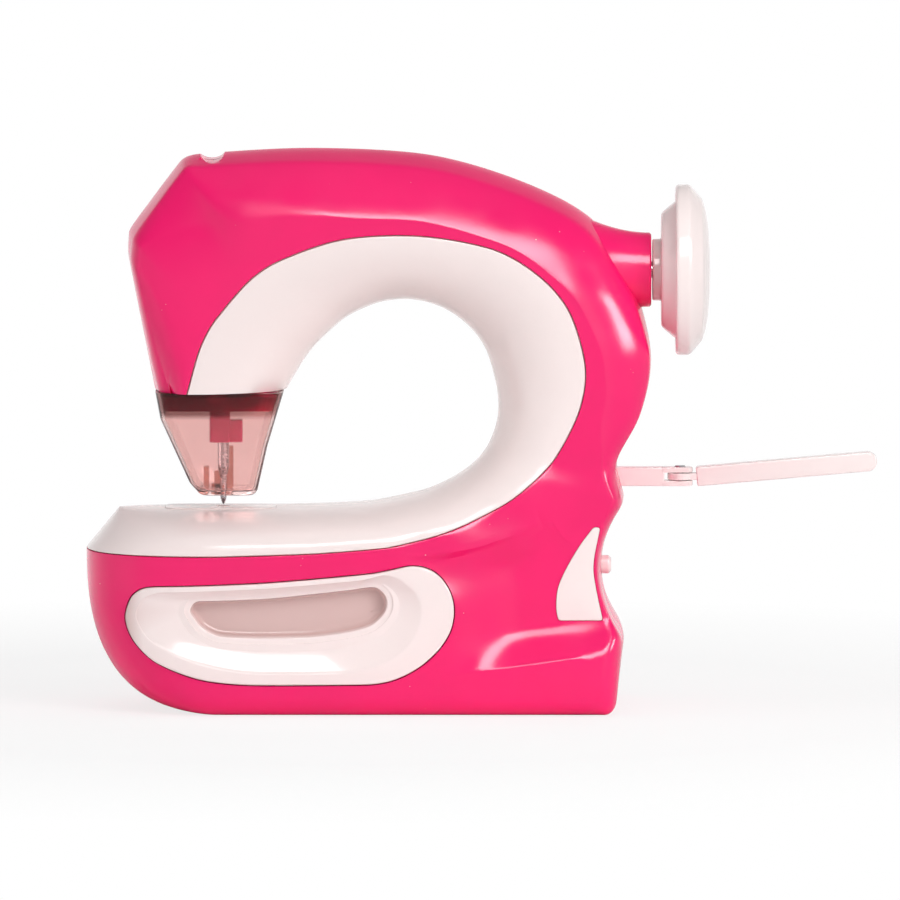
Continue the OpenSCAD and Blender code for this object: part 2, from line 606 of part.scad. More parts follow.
module batteries() color([0.3, 0.32, 0.35]) for (i = [0 : cells - 1])
    translate([case_x0 + case_t + contact_t, cell_y(i), cell_z]) mirror([i % 2, 0, 0])
        translate([i % 2 ? -cell_l : 0, 0, 0]) {
            rod_x(0, cell_l - 1.2, cell_d / 2);
            rod_x(cell_l - 1.2, cell_l - 0.1, 2.7);
        }
module battery_contacts() color(steel) for (i = [0 : cells - 1], e = [0, 1])
    translate([e ? case_x1 - case_t : case_x0 + case_t, cell_y(i), cell_z]) mirror([e, 0, 0]) {
        box([0.1, -5, -5], [0.6, 5, 5]);
        rod_x(0.6, contact_t - 0.1, 3);
    }

// Needle plate, head plate and guard
module needle_plate() color(pale) translate([0, 0, needle_plate_low]) difference() {
    linear_extrude(needle_plate_t) needle_plate_outline(0);
    rod_z(-1, needle_plate_t + 1, 2.6, needle_x);
}
clamp_left = 5;
clamp_right = 2;
clamp_side = 7;
clamp_half = 4.5;
clamp_low = bed_z + 23.8;
clamp_top = clamp_low + 17;
head_plate_t = 2.4;
skirt_h = 6.6;
guard_top = head_z - seam_gap;
guard_low = bed_z + 5;
// The inside of the head at its underside, as [x, y] pairs of one half
function head_half(by) =
    let (o = rail(outer_rail, 0), b = rail(seam_rail, 0), shell = inward_shell(shell_profile(0), wall + by),
        panel = inward(panel_profile(0), wall + by))
    concat([for (q = shell) [o[0] + q[0], -q[1]]],
        [for (i = [1 : len(panel) - 1]) [b[0] + panel[i][0], -panel[i][1]]]);
function both_halves(p) = concat(p, [for (i = [len(p) - 2 : -1 : 1]) [p[i][0], -p[i][1]]]);
// A ring of the guard: a rounded box at a share of its height, drawn in by a margin
guard_left = [[0, 0], [0.12, 0.245], [0.74, 0.89], [1, 1]];
guard_right = [[0, 0], [0.05, 0.12], [0.48, 0.46], [1, 1]];
guard_half = 12.5;
function guard_ring(z, by) =
    let (
        t = (z - guard_low) / (guard_top - guard_low),
        x0 = mix(needle_x - 8.2, head_x + 0.4, lookup(t, guard_left)) + by,
        x1 = mix(needle_x + 11.2, head_in_x - 1.2, lookup(t, guard_right)) - by,
        h = mix(guard_half, arm_half - 6, t) - by, r = mix(4, 7, t) - by / 2)
    [for (c = [[x1 - r, h - r, 0], [x0 + r, h - r, 90], [x0 + r, r - h, 180], [x1 - r, r - h, 270]],
        a = [0 : 22.5 : 90])
        [c[0] + r * cos(c[2] + a), c[1] + r * sin(c[2] + a), z]];
guard_levels = [0, 0.05, 0.12, 0.3, 0.48, 0.74, 1];
guard_floor = 1.6;
guard_hole_r = 4.5;
module needle_guard() color(smoke) {
    difference() {
        loft([for (t = guard_levels) guard_ring(mix(guard_low, guard_top, t), 0)]);
        loft(concat([for (t = guard_levels) guard_ring(mix(guard_low + guard_floor, guard_top, t),
            guard_wall)],
            [[for (p = guard_ring(guard_top, guard_wall)) p + [0, 0, 1]]]));
        rod_z(guard_low - 1, guard_low + guard_floor + 1, guard_hole_r, needle_x);
    }
    for (rib = [[-7.2, -5.2, -3, 10], [-4.9, -3.4, -3, 8]])
        box([needle_x + rib[0], rib[2], guard_low + 0.5], [needle_x + rib[1], -rib[2], guard_low + rib[3]]);
    box([needle_x - 1.2, guard_hole_r - 0.2, guard_low + 0.5],
        [needle_x + 2, guard_hole_r + 1.8, guard_low + 17]);
}
skirt_draw = 5.6;
head_plate_half = key(seam_keys, 0) - wall - 2 * seam_gap - lip_t - 0.3;
function skirt_ring(z, by) = guard_ring(z, guard_wall + 0.3 + by);
module head_plate() color(magenta) difference() {
    union() {
        loft([for (q = [[0, 1.8], [head_plate_t, 2.6]])
            [for (p = both_halves(head_half(q[1]))) [p[0],
                max(min(p[1], head_plate_half), -head_plate_half), head_z + q[0]]]]);
        loft([skirt_ring(guard_top - skirt_h, 0), skirt_ring(guard_top - 1.4, 0),
            skirt_ring(guard_top, skirt_draw),
            [for (p = skirt_ring(guard_top, skirt_draw)) p + [0, 0, 1]]]);
    }
    loft([skirt_ring(guard_top - skirt_h - 1, 1.6), skirt_ring(guard_top - 0.1, skirt_draw + 1.6)]);
    box([needle_x - clamp_left - 1, -clamp_half - 1, guard_top - skirt_h],
        [needle_x + clamp_side + 1, clamp_half + 4,
        head_z + head_plate_t + 1]);
}

// Neck collar, bushes and the mechanism's frame
module neck_collar() color(magenta) difference() {
    turned_x(concat([[0, collar_x0]], flare(0), [[0, column_x]]), shaft_z);
    rod_x(collar_x0 - 1, column_x - bush_l, collar_r - 3, 0, shaft_z);
    rod_x(column_x - bush_l - 1, column_x + 1, bush_r + run_fit, 0, shaft_z);
}
module bush(x0, z) ring_x(x0, x0 + bush_l, bush_r, shaft_r + run_fit, 0, z);
module main_bushes() color(brass) {
    bush(main_bush_x, shaft_z);
    bush(column_x - bush_l, shaft_z);
}
module lower_bushes() color(brass) {
    bush(looper_bush_x, lower_z);
    bush(lower_bush_x, lower_z);
}
guide_h = 6;
bar_r = bar_d / 2;
stroke = 2 * crank_r;
yoke_z = shaft_z - crank_r;
yoke_half = 4.5;
low_guide_z = clamp_top + stroke + 1.2;
high_guide_z = yoke_z + yoke_half + stroke + 1;
bar_top = high_guide_z + guide_h + 1.2;
frame_inset = 10 + 2.5 * max(frame_y + frame_t + 8 - arm_half, 0);
frame_outline = concat(
    [for (s = [0.4 : 0.53 : 11]) mix(rail(seam_rail, s), rail(throat_rail, s), frame_low_share)],
    [for (s = [11 : -0.53 : 0.4])
        let (o = rail(outer_rail, s)) o + unit(rail(seam_rail, s) - o) * frame_inset]);
block_half = bush_r + 2.5;
module bush_block(x0, z) box([x0, -block_half, z - block_half],
    [x0 + bush_l, frame_y + 0.5, z + block_half]);
module guide_block(z) box([needle_x - 5, -5, z], [needle_x + 5, frame_y + 0.5, z + guide_h]);
module mech_frame() color(steel) difference() {
    union() {
        plate_y(frame_outline, frame_y, frame_y + frame_t);
        box([post_x0, frame_y, plate_t], [post_x1, frame_y + frame_t, mid_z]);
        box([post_x0 - 1, foot_y0, plate_t], [post_x1 + 1, foot_y1, plate_t + foot_t]);
        bush_block(main_bush_x, shaft_z);
        bush_block(lower_bush_x, lower_z);
        guide_block(low_guide_z);
        guide_block(high_guide_z);
        box([waist_x - 21, 6.1, button_z - 5], [waist_x - 14, frame_y + 0.5, switch_top]);
    }
    collar_space();
    rod_x(main_bush_x - 1, main_bush_x + bush_l + 1, bush_r + run_fit, 0, shaft_z);
    rod_x(lower_bush_x - 1, lower_bush_x + bush_l + 1, bush_r + run_fit, 0, lower_z);
    rod_z(low_guide_z - 1, high_guide_z + guide_h + 1, bar_r + run_fit, needle_x);
    for (x = foot_screws) rod_z(0, plate_t + foot_t + 1, frame_screw_r + run_fit, x, foot_screw_y);
}
module frame_screws() color(steel) for (x = foot_screws) {
    rod_z(plate_t - 2.4, plate_t + foot_t + 0.5, frame_screw_r, x, foot_screw_y);
    rod_z(plate_t + foot_t, plate_t + foot_t + 1.6, 2.3, x, foot_screw_y);
}
tray_z0 = drawer_z + 5.7;
tray_z1 = drawer_z + 34;
tray_y0 = slot_depth + 2 - base_half + 0.2;
bracket_post_y = base_half - 11;
bracket_post_t = 4;
tray_y1 = min(tray_y0 + tray_l, bracket_post_y - bracket_post_t - 0.8);
tray_x0 = drawer_x - drawer_l + 18.5 * span;
tray_x1 = min(drawer_x - 16.5 * span, case_x0 - door_tab - 2);
module looper_bracket() color(steel) difference() {
    union() {
        rod_x(looper_bush_x, looper_bush_x + bush_l, bush_r + 2.2, 0, lower_z);
        box([looper_bush_x, 0, lower_z - bush_r - 2.2],
            [looper_bush_x + bush_l, bracket_post_y + 0.5, lower_z - 2]);
        box([looper_bush_x, bracket_post_y - bracket_post_t, plate_t],
            [looper_bush_x + bush_l, bracket_post_y + 0.5, lower_z - 2]);
    }
    rod_x(looper_bush_x - 1, looper_bush_x + bush_l + 1, bush_r + run_fit, 0, lower_z);
}

// Motor, its mount and the gear pair
module motor() color([0.6, 0.6, 0.62]) difference() {
    union() {
        rod_x(motor_x0, motor_x1, motor_r, 0, motor_z);
        rod_x(motor_x0 - 1.5, motor_x0 + 1, 3, 0, motor_z);
    }
    rod_x(motor_x0 - 2, motor_x0 + 8, 1 + run_fit, 0, motor_z);
}
module motor_mount() color(nylon) difference() {
    box([motor_x0 + 6.5, -motor_r - 2, motor_z - motor_r - 2],
        [motor_x1 - 3, frame_y - 0.1, motor_z + motor_r + 2]);
    rod_x(motor_x0 - 1, motor_x1 + 1, motor_r + run_fit, 0, motor_z);
}
// Involute teeth: the half angle of a tooth at a radius, and the outline of a whole gear
pressure = 20;
backlash = 0.14;
function unwind(base, r) = let (a = sqrt(max(pow(r / base, 2) - 1, 0))) a * 180 / PI - atan(a);
function gear_outline(teeth, turn) =
    let (
        pitch = gear_module * teeth / 2, base = pitch * cos(pressure), tip = pitch + gear_module,
        root = pitch - 1.25 * gear_module,
        half = 90 / teeth - backlash / pitch * 90 / PI + unwind(base, pitch),
        radii = [root, max(base, root + 0.05), mix(max(base, root), pitch, 0.6), mix(pitch, tip, 0.5), tip],
        flanks = [for (r = radii) [r, half - unwind(base, r)]],
        tooth = concat([for (f = flanks) [f[0], -f[1]]], [for (f = reversed(flanks)) f]))
    [for (i = [0 : teeth - 1], f = tooth)
        let (a = turn + 360 * i / teeth + f[1]) [f[0] * cos(a), f[0] * sin(a)]];
module main_gear() color(nylon) translate([0, 0, shaft_z]) difference() {
    union() {
        plate_x(gear_outline(gear_teeth, -90), gear_x0, gear_x1);
        rod_x(gear_x0 - 4, gear_x0 + 1, shaft_r + 2.5);
    }
    rod_x(gear_x0 - 5, gear_x1 + 1, shaft_r + run_fit / 2);
}
module motor_pinion() color(brass) translate([0, 0, motor_z]) {
    plate_x(gear_outline(pinion_teeth, 90 + 180 / pinion_teeth), gear_x0 - 0.4, gear_x1 + 0.3);
    rod_x(gear_x0 - 1, motor_x0 + 7, 1);
}

// Belt drive to the lower shaft
belt_r = belt_d / 2;
belt_run = pulley_r + belt_r + 0.3;
pulley_rim = belt_run + 1;
switch_top = min(button_z + 2, lower_z - pulley_rim - 0.5);
module pulley(z) turned_x([
    [shaft_r + run_fit / 2, belt_x - pulley_half], [pulley_rim, belt_x - pulley_half],
    [pulley_rim, belt_x - belt_r - move_gap], [pulley_r, belt_x - belt_r - move_gap],
    [pulley_r, belt_x + belt_r + move_gap], [pulley_rim, belt_x + belt_r + move_gap],
    [pulley_rim, belt_x + pulley_half], [shaft_r + run_fit / 2, belt_x + pulley_half]], z);
module upper_pulley() color(nylon) pulley(shaft_z);
module lower_pulley() color(nylon) pulley(lower_z);
module drive_belt() color(rubber) {
    for (end = [[shaft_z, 0], [lower_z, 180]])
        translate([belt_x, 0, end[0]]) rotate([90, 0, 90]) rotate([0, 0, end[1]])
            rotate_extrude(angle = 180) translate([belt_run, 0]) circle(r = belt_r);
    for (y = [-belt_run, belt_run]) rod_z(lower_z, shaft_z, belt_r, belt_x, y);
}
module main_shaft() color(steel) rod_x(crank_x1 - crank_t + 1, wheel_x0 + 11, shaft_r, 0, shaft_z);
module lower_shaft() color(steel) rod_x(looper_x1 - 2, belt_x + pulley_half + 1, shaft_r, 0, lower_z);

// Crank and needle bar
crank_disc_r = crank_r + 3.6;
pin_r = 2;
module crank_disc() color(steel) difference() {
    union() {
        rod_x(crank_x1 - crank_t, crank_x1, crank_disc_r, 0, shaft_z);
        rod_x(crank_x1 - crank_t - pin_l, crank_x1 - crank_t + 1, pin_r, 0, yoke_z);
    }
    rod_x(crank_x1 - crank_t + 1, crank_x1 + 1, shaft_r + run_fit / 2, 0, shaft_z);
}
module needle_yoke() color(nylon) difference() {
    union() {
        box([yoke_x1 - yoke_t, -crank_disc_r - 1.4, yoke_z - yoke_half],
            [yoke_x1, crank_disc_r + 1.4, yoke_z + yoke_half]);
        box([needle_x - 4.5, -4.5, yoke_z - yoke_half], [yoke_x1 - yoke_t + 0.5, 4.5, yoke_z + yoke_half]);
    }
    rod_z(yoke_z - 6, yoke_z + 6, bar_r + run_fit / 2, needle_x);
    box([yoke_x1 - yoke_t + 0.8, -crank_r - pin_r - 0.4, yoke_z - pin_r - 0.25],
        [yoke_x1 + 1, crank_r + pin_r + 0.4, yoke_z + pin_r + 0.25]);
}
module needle_bar() color(steel) rod_z(clamp_low + 8, bar_top, bar_r, needle_x);
module needle_clamp() color(magenta) difference() {
    union() {
        box([needle_x - clamp_left, -clamp_half, clamp_low],
            [needle_x + clamp_right + 0.5, clamp_half, clamp_top]);
        box([needle_x + clamp_right, -clamp_half + 1, clamp_low],
            [needle_x + clamp_side, clamp_half - 1, clamp_low + 8.2]);
    }
    rod_z(clamp_low + 7.9, clamp_top + 1, bar_r + run_fit / 2, needle_x);
    rod_z(clamp_low - 1, clamp_low + 8, shank_r + run_fit / 2, needle_x);
    rod_y(shank_r + 0.2, clamp_half + 1, 1.2 + run_fit / 2, needle_x, clamp_low + 4);
}
shank_r = 2.1;
needle_tip = bed_z + 0.9;
module clamp_screw() color(steel) {
    rod_y(shank_r + 0.25, clamp_half + 0.5, 1.2, needle_x, clamp_low + 4);
    rod_y(clamp_half + 0.1, clamp_half + 2.4, 2.2, needle_x, clamp_low + 4);
}
module needle() color(steel) translate([needle_x, 0, 0]) rotate_extrude() polygon([
    [0, needle_tip], [0.25, needle_tip], [needle_d / 2, needle_tip + 6], [needle_d / 2, clamp_low - 13],
    [shank_r, clamp_low - 9], [shank_r, clamp_low + 7.6], [0, clamp_low + 7.6]]);
looper_r = 7.5;
looper_t = 3;
module looper() color(steel) difference() {
    union() {
        intersection() {
            rod_x(looper_x1 - looper_t, looper_x1, looper_r, 0, lower_z);
            plate_x([[-2, lower_z - 8], [8, lower_z - 8], [8, lower_z + 3], [0, lower_z + 8],
                [-8, lower_z + 8],
                [-8, lower_z + 5], [-1, lower_z + 4]], looper_x1 - looper_t, looper_x1);
        }
        rod_x(looper_x1 - looper_t, looper_x1 + 6, shaft_r + 1.5, 0, lower_z);
    }
    rod_x(looper_x1 - 2, looper_x1 + 7, shaft_r + run_fit / 2, 0, lower_z);
}

// Handwheel: a dished rim with a domed face and a finger dimple
module handwheel() color(pale) difference() {
    turned_x([for (p = [
        [0, 0], [11.2, 0], [11.2, 3.2], [wheel_r - 10.6, 3.2], [wheel_r - 9.8, 3.9], [wheel_r - 6, 8.4],
        [wheel_r - 5.6, 9.4], [wheel_r - 1.2, 8.3], [wheel_r - 0.2, 8.8], [wheel_r, 9.8],
            [wheel_r, wheel_t - 7.6],
        [wheel_r - 0.7, wheel_t - 6.8], [wheel_r - 5.4, wheel_t - 2.8], [wheel_r - 9.5, wheel_t - 1.6],
        [wheel_r - 15, wheel_t - 0.7], [wheel_r - 22, wheel_t - 0.2], [0, wheel_t]]) [p[0],
            wheel_x0 + p[1]]], shaft_z);
    rod_x(wheel_x0 - 1, wheel_x0 + 12, shaft_r + run_fit / 2, 0, shaft_z);
    translate([wheel_x0 + wheel_t + 5.5, 0, shaft_z + wheel_r * 0.28]) sphere(r = 8);
}

// Drawer
module drawer_front() color(pale) {
    edge = loop(drawer_edge, drawer_steps);
    dish = loop(drawer_dish, drawer_steps);
    slot = loop(drawer_slot, drawer_steps);
    pocket = grow(slot, -1.6);
    floor_y = slot_depth - base_half;
    loft(reversed([
        [for (p = pocket) [p[0], floor_y + 2, p[1]]],
        at_depth(pocket, drawer_t + 0.01),
        at_depth(edge, drawer_t),
        at_depth(edge, 0.6),
        at_depth(grow(edge, 0.7), 0),
        at_depth(mix(edge, dish, 0.85), 0),
        at_depth(dish, 0.6),
        at_depth(mix(dish, slot, 0.5), 1.9),
        at_depth(slot, 2.4),
        [for (p = grow(slot, 0.8)) [p[0], floor_y, p[1]]]]));
}
module drawer_tray() color(pale) difference() {
    box([tray_x0, tray_y0, tray_z0], [tray_x1, tray_y1, tray_z1]);
    box([tray_x0 + tray_wall, tray_y0 + tray_wall, tray_z0 + tray_wall],
        [tray_x1 - tray_wall, tray_y1 - tray_wall, tray_z1 + 1]);
}
rail_w = 6;
module drawer_rails() color(magenta) for (x = [bow_c + 1, tray_x1 - rail_w])
    box([x, tray_y0 + 2, plate_t], [x + rail_w, tray_y1, tray_z0 - 0.3]);

// Push button and its switch
module power_button() color(pale) {
    rod_x(waist_x - button_in, waist_x + button_out, button_r, 0, button_z);
    rod_x(waist_x - button_in + 0.3, waist_x - wall - 1, button_r + 1.2, 0, button_z);
}
module switch() color(rubber) box([waist_x - 22, -6, button_z - 5], [switch_x1, 6, switch_top]);

// Spool arm on its bracket
arm_pin_x = column_x + 10.7;
arm_pin_r = 2;
knuckle_r = 4.6;
tine_t = 1.9;
tongue_half = bracket_half - tine_t - 0.3;
module arm_bracket() color(pale) difference() {
    union() {
        box([column_x - 19, bracket_y - bracket_half, bracket_z - bracket_half],
            [arm_pin_x, bracket_y + bracket_half, bracket_z + bracket_half]);
        rod_z(bracket_z - bracket_half, bracket_z + bracket_half, knuckle_r, arm_pin_x, bracket_y);
    }
    box([arm_pin_x - knuckle_r - 1, bracket_y - 9, bracket_z - tongue_half - 0.3],
        [arm_pin_x + 9, bracket_y + 9, bracket_z + tongue_half + 0.3]);
    rod_z(bracket_z - 9, bracket_z + 9, arm_pin_r + run_fit / 2, arm_pin_x, bracket_y);
}
module arm_pin() color(steel) rod_z(bracket_z - bracket_half, bracket_z + bracket_half + 0.5, arm_pin_r,
    arm_pin_x, bracket_y);
arm_half_t = arm_t / 2;
module spool_arm() color(pale) difference() {
    union() {
        rod_z(bracket_z - tongue_half, bracket_z + tongue_half, knuckle_r, arm_pin_x, bracket_y);
        box([arm_pin_x, bracket_y - 3, bracket_z - tongue_half],
            [arm_pin_x + 10, bracket_y + 3, bracket_z + tongue_half]);
        translate([arm_pin_x + 6, bracket_y, bracket_z]) rotate([0, -arm_slope, 0]) {
            box([0, -arm_half_t, -arm_half_t], [arm_l - 6 - arm_half_t, arm_half_t, arm_half_t]);
            rod_y(-arm_half_t, arm_half_t, arm_half_t, arm_l - 6 - arm_half_t, 0);
        }
    }
    rod_z(bracket_z - 9, bracket_z + 9, arm_pin_r + run_fit, arm_pin_x, bracket_y);
}
case_screw_l = min(7, arm_half - frame_y - frame_t - 1.7);
module case_screws() color(steel) for (p = case_screw_at)
    rod_y(p[2] - 0.5 - case_screw_l, p[2] - 0.5, screw_r, p[0], p[1]);

front_shell();
rear_shell();
front_throat_panel();
rear_throat_panel();
front_fin();
rear_fin();
base_plate();
battery_door();
door_screw();
battery_box();
batteries();
battery_contacts();
needle_plate();
needle_guard();
head_plate();
neck_collar();
mech_frame();
frame_screws();
main_bushes();
lower_bushes();
looper_bracket();
motor();
motor_mount();
drive_belt();
switch();
drawer_rails();
arm_bracket();
arm_pin();
case_screws();
handwheel();
main_shaft();
crank_disc();
main_gear();
upper_pulley();
needle_bar();
needle_yoke();
needle_clamp();
clamp_screw();
needle();
motor_pinion();
lower_shaft();
looper();
lower_pulley();
drawer_front();
drawer_tray();
power_button();
spool_arm();
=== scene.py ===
"""Looks of a toy sewing machine: a two-tone moulded housing, its drawer, its needle head and its wheel.

Lengths are millimetres, and MM turns them into the frame's metres.
+X runs from the needle head to the handwheel, -Y to the front and +Z up.
"""

import logging
import math
from dataclasses import dataclass, replace
from enum import Enum
from typing import Sequence

import bmesh
import bpy
import numpy as np
from mathutils import Matrix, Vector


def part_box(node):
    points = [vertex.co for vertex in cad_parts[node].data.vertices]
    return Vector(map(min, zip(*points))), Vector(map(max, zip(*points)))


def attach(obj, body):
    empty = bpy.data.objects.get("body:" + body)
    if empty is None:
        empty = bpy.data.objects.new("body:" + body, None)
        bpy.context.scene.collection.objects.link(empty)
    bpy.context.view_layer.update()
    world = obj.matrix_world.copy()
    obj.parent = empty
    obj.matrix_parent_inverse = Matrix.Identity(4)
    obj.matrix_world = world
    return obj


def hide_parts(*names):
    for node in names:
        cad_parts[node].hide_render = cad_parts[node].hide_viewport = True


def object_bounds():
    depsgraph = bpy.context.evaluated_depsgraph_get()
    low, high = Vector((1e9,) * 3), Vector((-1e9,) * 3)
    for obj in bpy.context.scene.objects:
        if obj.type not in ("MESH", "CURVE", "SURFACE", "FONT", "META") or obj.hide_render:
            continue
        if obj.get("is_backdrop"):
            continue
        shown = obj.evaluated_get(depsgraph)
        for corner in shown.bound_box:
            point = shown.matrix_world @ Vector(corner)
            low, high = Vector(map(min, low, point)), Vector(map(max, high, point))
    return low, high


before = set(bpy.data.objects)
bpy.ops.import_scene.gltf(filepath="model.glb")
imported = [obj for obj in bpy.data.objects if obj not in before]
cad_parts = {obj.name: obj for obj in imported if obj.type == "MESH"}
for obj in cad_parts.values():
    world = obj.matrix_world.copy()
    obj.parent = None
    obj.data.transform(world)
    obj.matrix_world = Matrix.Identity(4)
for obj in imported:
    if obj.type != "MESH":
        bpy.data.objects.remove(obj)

CAD_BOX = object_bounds()
MM = 0.001
LOG = logging.getLogger("looks")
Array = np.ndarray
Socket = bpy.types.NodeSocket
Pairs = Sequence[tuple[float, float]]
Triple = tuple[float, float, float]


class Axis(Enum):
    """Direction that a flat outline is carried along."""

    X = 0
    Y = 1
    Z = 2


class Body(Enum):
    """Bodies of the frame that new pieces ride on."""

    HOUSING = "housing"
    DRIVE = "drive"
    NEEDLE = "needle_slide"
    DRAWER = "drawer"
    BUTTON = "button"
    SPOOL = "spool_holder"


# Curves and sections


def smooth(t: Array) -> Array:
    """Cubic step from 0 to 1, flat at both ends."""
    u = np.clip(t, 0, 1)
    return u * u * (3 - 2 * u)


def ease(t: Array) -> Array:
    """Step from 0 to 1 that starts steep and ends flat."""
    return 1 - (1 - np.clip(t, 0, 1)) ** 2


def mix(a: Array | float, b: Array | float, t: Array | float) -> Array:
    """Value between two others at a share of the way."""
    return a + (b - a) * t


def unit(v: Array) -> Array:
    """Vectors scaled to a length of one."""
    return v / np.linalg.norm(v, axis=-1, keepdims=True)


def keyed(table: Pairs, s: Array) -> Array:
    """Value between the keys of a table, eased by a cubic step from each key to the next.

    Args:
        table: Pairs of station and value, in order of station.
        s: Stations to read.

    Returns:
        One value for each station.
    """
    x, y = np.array(table, float).T
    i = np.clip(np.searchsorted(x, s, side="right") - 1, 0, len(x) - 2)
    return mix(y[i], y[i + 1], smooth((s - x[i]) / (x[i + 1] - x[i])))


def hermite(a: Array, ta: Array, b: Array, tb: Array, t: Array) -> Array:
    """Cubic between two points with a tangent at each.

    Args:
        a: First point.
        ta: Tangent there.
        b: Second point.
        tb: Tangent there.
        t: Shares of the way.

    Returns:
        The points on the way.
    """
    return (
        a * (2 * t**3 - 3 * t**2 + 1)
        + ta * (t**3 - 2 * t**2 + t)
        + b * (3 * t**2 - 2 * t**3)
        + tb * (t**3 - t**2)
    )


def rail(
    points: Pairs,
    s: Array,
    corners: dict[int, tuple[tuple[float, float], tuple[float, float]]] | None = None,
) -> Array:
    """Open curve through points, whose tangents are as long as the shorter neighbouring span.

    Args:
        points: Points of the curve, one for each whole station.
        s: Stations to read.
        corners: Directions in and out of the points where the curve turns sharply.

    Returns:
        One point for each station.
    """
    p = np.array(points, float)
    n = len(p) - 1
    before, after = p[np.maximum(np.arange(n + 1) - 1, 0)], p[np.minimum(np.arange(n + 1) + 1, n)]
    la, lb = np.linalg.norm(p - before, axis=1), np.linalg.norm(after - p, axis=1)
    length = np.minimum(la, lb)
    length[0], length[n] = lb[0], la[n]
    arrive = unit(after - before) * length[:, None]
    leave = arrive.copy()
    for k, (way_in, way_out) in (corners or {}).items():
        arrive[k] = unit(np.array(way_in)) * la[k]
        leave[k] = unit(np.array(way_out)) * lb[k]
    i = np.minimum(np.floor(s).astype(int), n - 1)
    return hermite(p[i], leave[i], p[i + 1], arrive[i + 1], (s - i)[:, None])


def ring_curve(points: Pairs, steps: int) -> Array:
    """Closed curve through points, made as the open one is.

    Args:
        points: Points of the curve.
        steps: Steps from each point to the next.

    Returns:
        The curve's points, as many as the points times the steps.
    """
    p = np.array(points, float)
    a, c, d = np.roll(p, 1, 0), np.roll(p, -1, 0), np.roll(p, -2, 0)
    span = np.linalg.norm(c - p, axis=1, keepdims=True)
    first = unit(c - a) * np.minimum(span, np.linalg.norm(p - a, axis=1, keepdims=True))
    second = unit(d - p) * np.minimum(span, np.linalg.norm(d - c, axis=1, keepdims=True))
    t = (np.arange(steps) / steps)[None, :, None]
    grid = hermite(p[:, None], first[:, None], c[:, None], second[:, None], t)
    return grid.reshape(-1, 2)


def grow(ring: Array, by: float) -> Array:
    """Closed outline moved along its normals: outwards if it runs anticlockwise."""
    t = unit(np.roll(ring, -1, 0) - np.roll(ring, 1, 0))
    return ring + np.stack([t[:, 1], -t[:, 0]], 1) * by


def relax(grid: Array, passes: int, axis: int = 0) -> Array:
    """Grid smoothed along an axis by a 1-2-1 filter that keeps both ends.

    Args:
        grid: Points or values.
        passes: Times that the filter is applied.
        axis: Axis that it runs along.

    Returns:
        The smoothed grid.
    """
    g = np.moveaxis(grid.copy(), axis, 0)
    for _ in range(passes):
        g[1:-1] = 0.25 * g[:-2] + 0.5 * g[1:-1] + 0.25 * g[2:]
    return np.moveaxis(g, 0, axis)


def softened(points: Pairs, step: float, passes: int) -> Array:
    """Open outline resampled at an even step and smoothed, so that its corners become fillets.

    Args:
        points: Corners of the outline.
        step: Distance between the new points.
        passes: Passes of the smoothing filter.

    Returns:
        The new outline.
    """
    p = np.array(points, float)
    run = np.concatenate([[0], np.cumsum(np.linalg.norm(np.diff(p, axis=0), axis=1))])
    at = np.linspace(0, run[-1], max(int(run[-1] / step), 4))
    return relax(np.stack([np.interp(at, run, p[:, k]) for k in (0, 1)], 1), passes)


def rounded_box(x0: float, y0: float, x1: float, y1: float, r: float, steps: int = 7) -> Array:
    """Anticlockwise rectangle with a quarter circle at each corner.

    Args:
        x0: Left side.
        y0: Low side.
        x1: Right side.
        y1: High side.
        r: Radius of the corners.
        steps: Steps round each corner.

    Returns:
        The outline's points.
    """
    centres = np.array([(x1 - r, y1 - r), (x0 + r, y1 - r), (x0 + r, y0 + r), (x1 - r, y0 + r)])
    turn = np.radians(np.arange(4)[:, None] * 90 + np.linspace(0, 90, steps)[None, :])
    arc = np.stack([np.cos(turn), np.sin(turn)], -1) * r
    return (centres[:, None] + arc).reshape(-1, 2)


# Solids


@dataclass
class Solid:
    """Closed surface with its points in millimetres and its faces as lists of point numbers."""

    points: Array
    faces: list[list[int]]

    def mirrored(self) -> "Solid":
        """The same solid on the other side of the split plane y = 0."""
        return Solid(self.points * (1, -1, 1), [f[::-1] for f in self.faces])

    def __add__(self, other: "Solid") -> "Solid":
        """Both solids as one.

        Args:
            other: The solid to add.

        Returns:
            The joint solid.
        """
        shift = len(self.points)
        return Solid(
            np.concatenate([self.points, other.points]),
            self.faces + [[k + shift for k in f] for f in other.faces],
        )


def outwards(points: Array, faces: list[list[int]]) -> Solid:
    """Solid whose faces are turned so that its volume, summed over fans of its faces, is positive.

    Args:
        points: Points of the surface.
        faces: Its faces, all turned the same way.

    Returns:
        The solid.
    """
    fans = np.array([(f[0], f[k], f[k + 1]) for f in faces for k in range(1, len(f) - 1)])
    a, b, c = (points[fans[:, k]] for k in range(3))
    volume = np.einsum("ij,ij->i", a, np.cross(b, c)).sum()
    return Solid(points, faces if volume > 0 else [f[::-1] for f in faces])


def loft(rings: Array, closed: bool = False) -> Solid:
    """Solid through rings with equal numbers of points: quads from each ring to the next.

    Args:
        rings: Grid of ring, point and coordinate.
        closed: True where the last ring joins the first, and otherwise both ends get a cap.

    Returns:
        The solid.
    """
    m, n = rings.shape[:2]
    i, j = np.arange(m if closed else m - 1)[:, None], np.arange(n)[None, :]
    low, high, after = i * n, (i + 1) % m * n, (j + 1) % n
    quads = np.stack([low + j, low + after, high + after, high + j], -1).reshape(-1, 4)
    faces = quads.tolist()
    if not closed:
        faces += [list(range(n))[::-1], list(range((m - 1) * n, m * n))]
    return outwards(rings.reshape(-1, 3), faces)


def standing(outline: Array, axis: Axis, at: float | Array) -> Array:
    """Flat outline put at a place along an axis: (y, z) along X, (x, z) along Y and (x, y) along Z."""
    return np.insert(outline, axis.value, at, axis=-1)


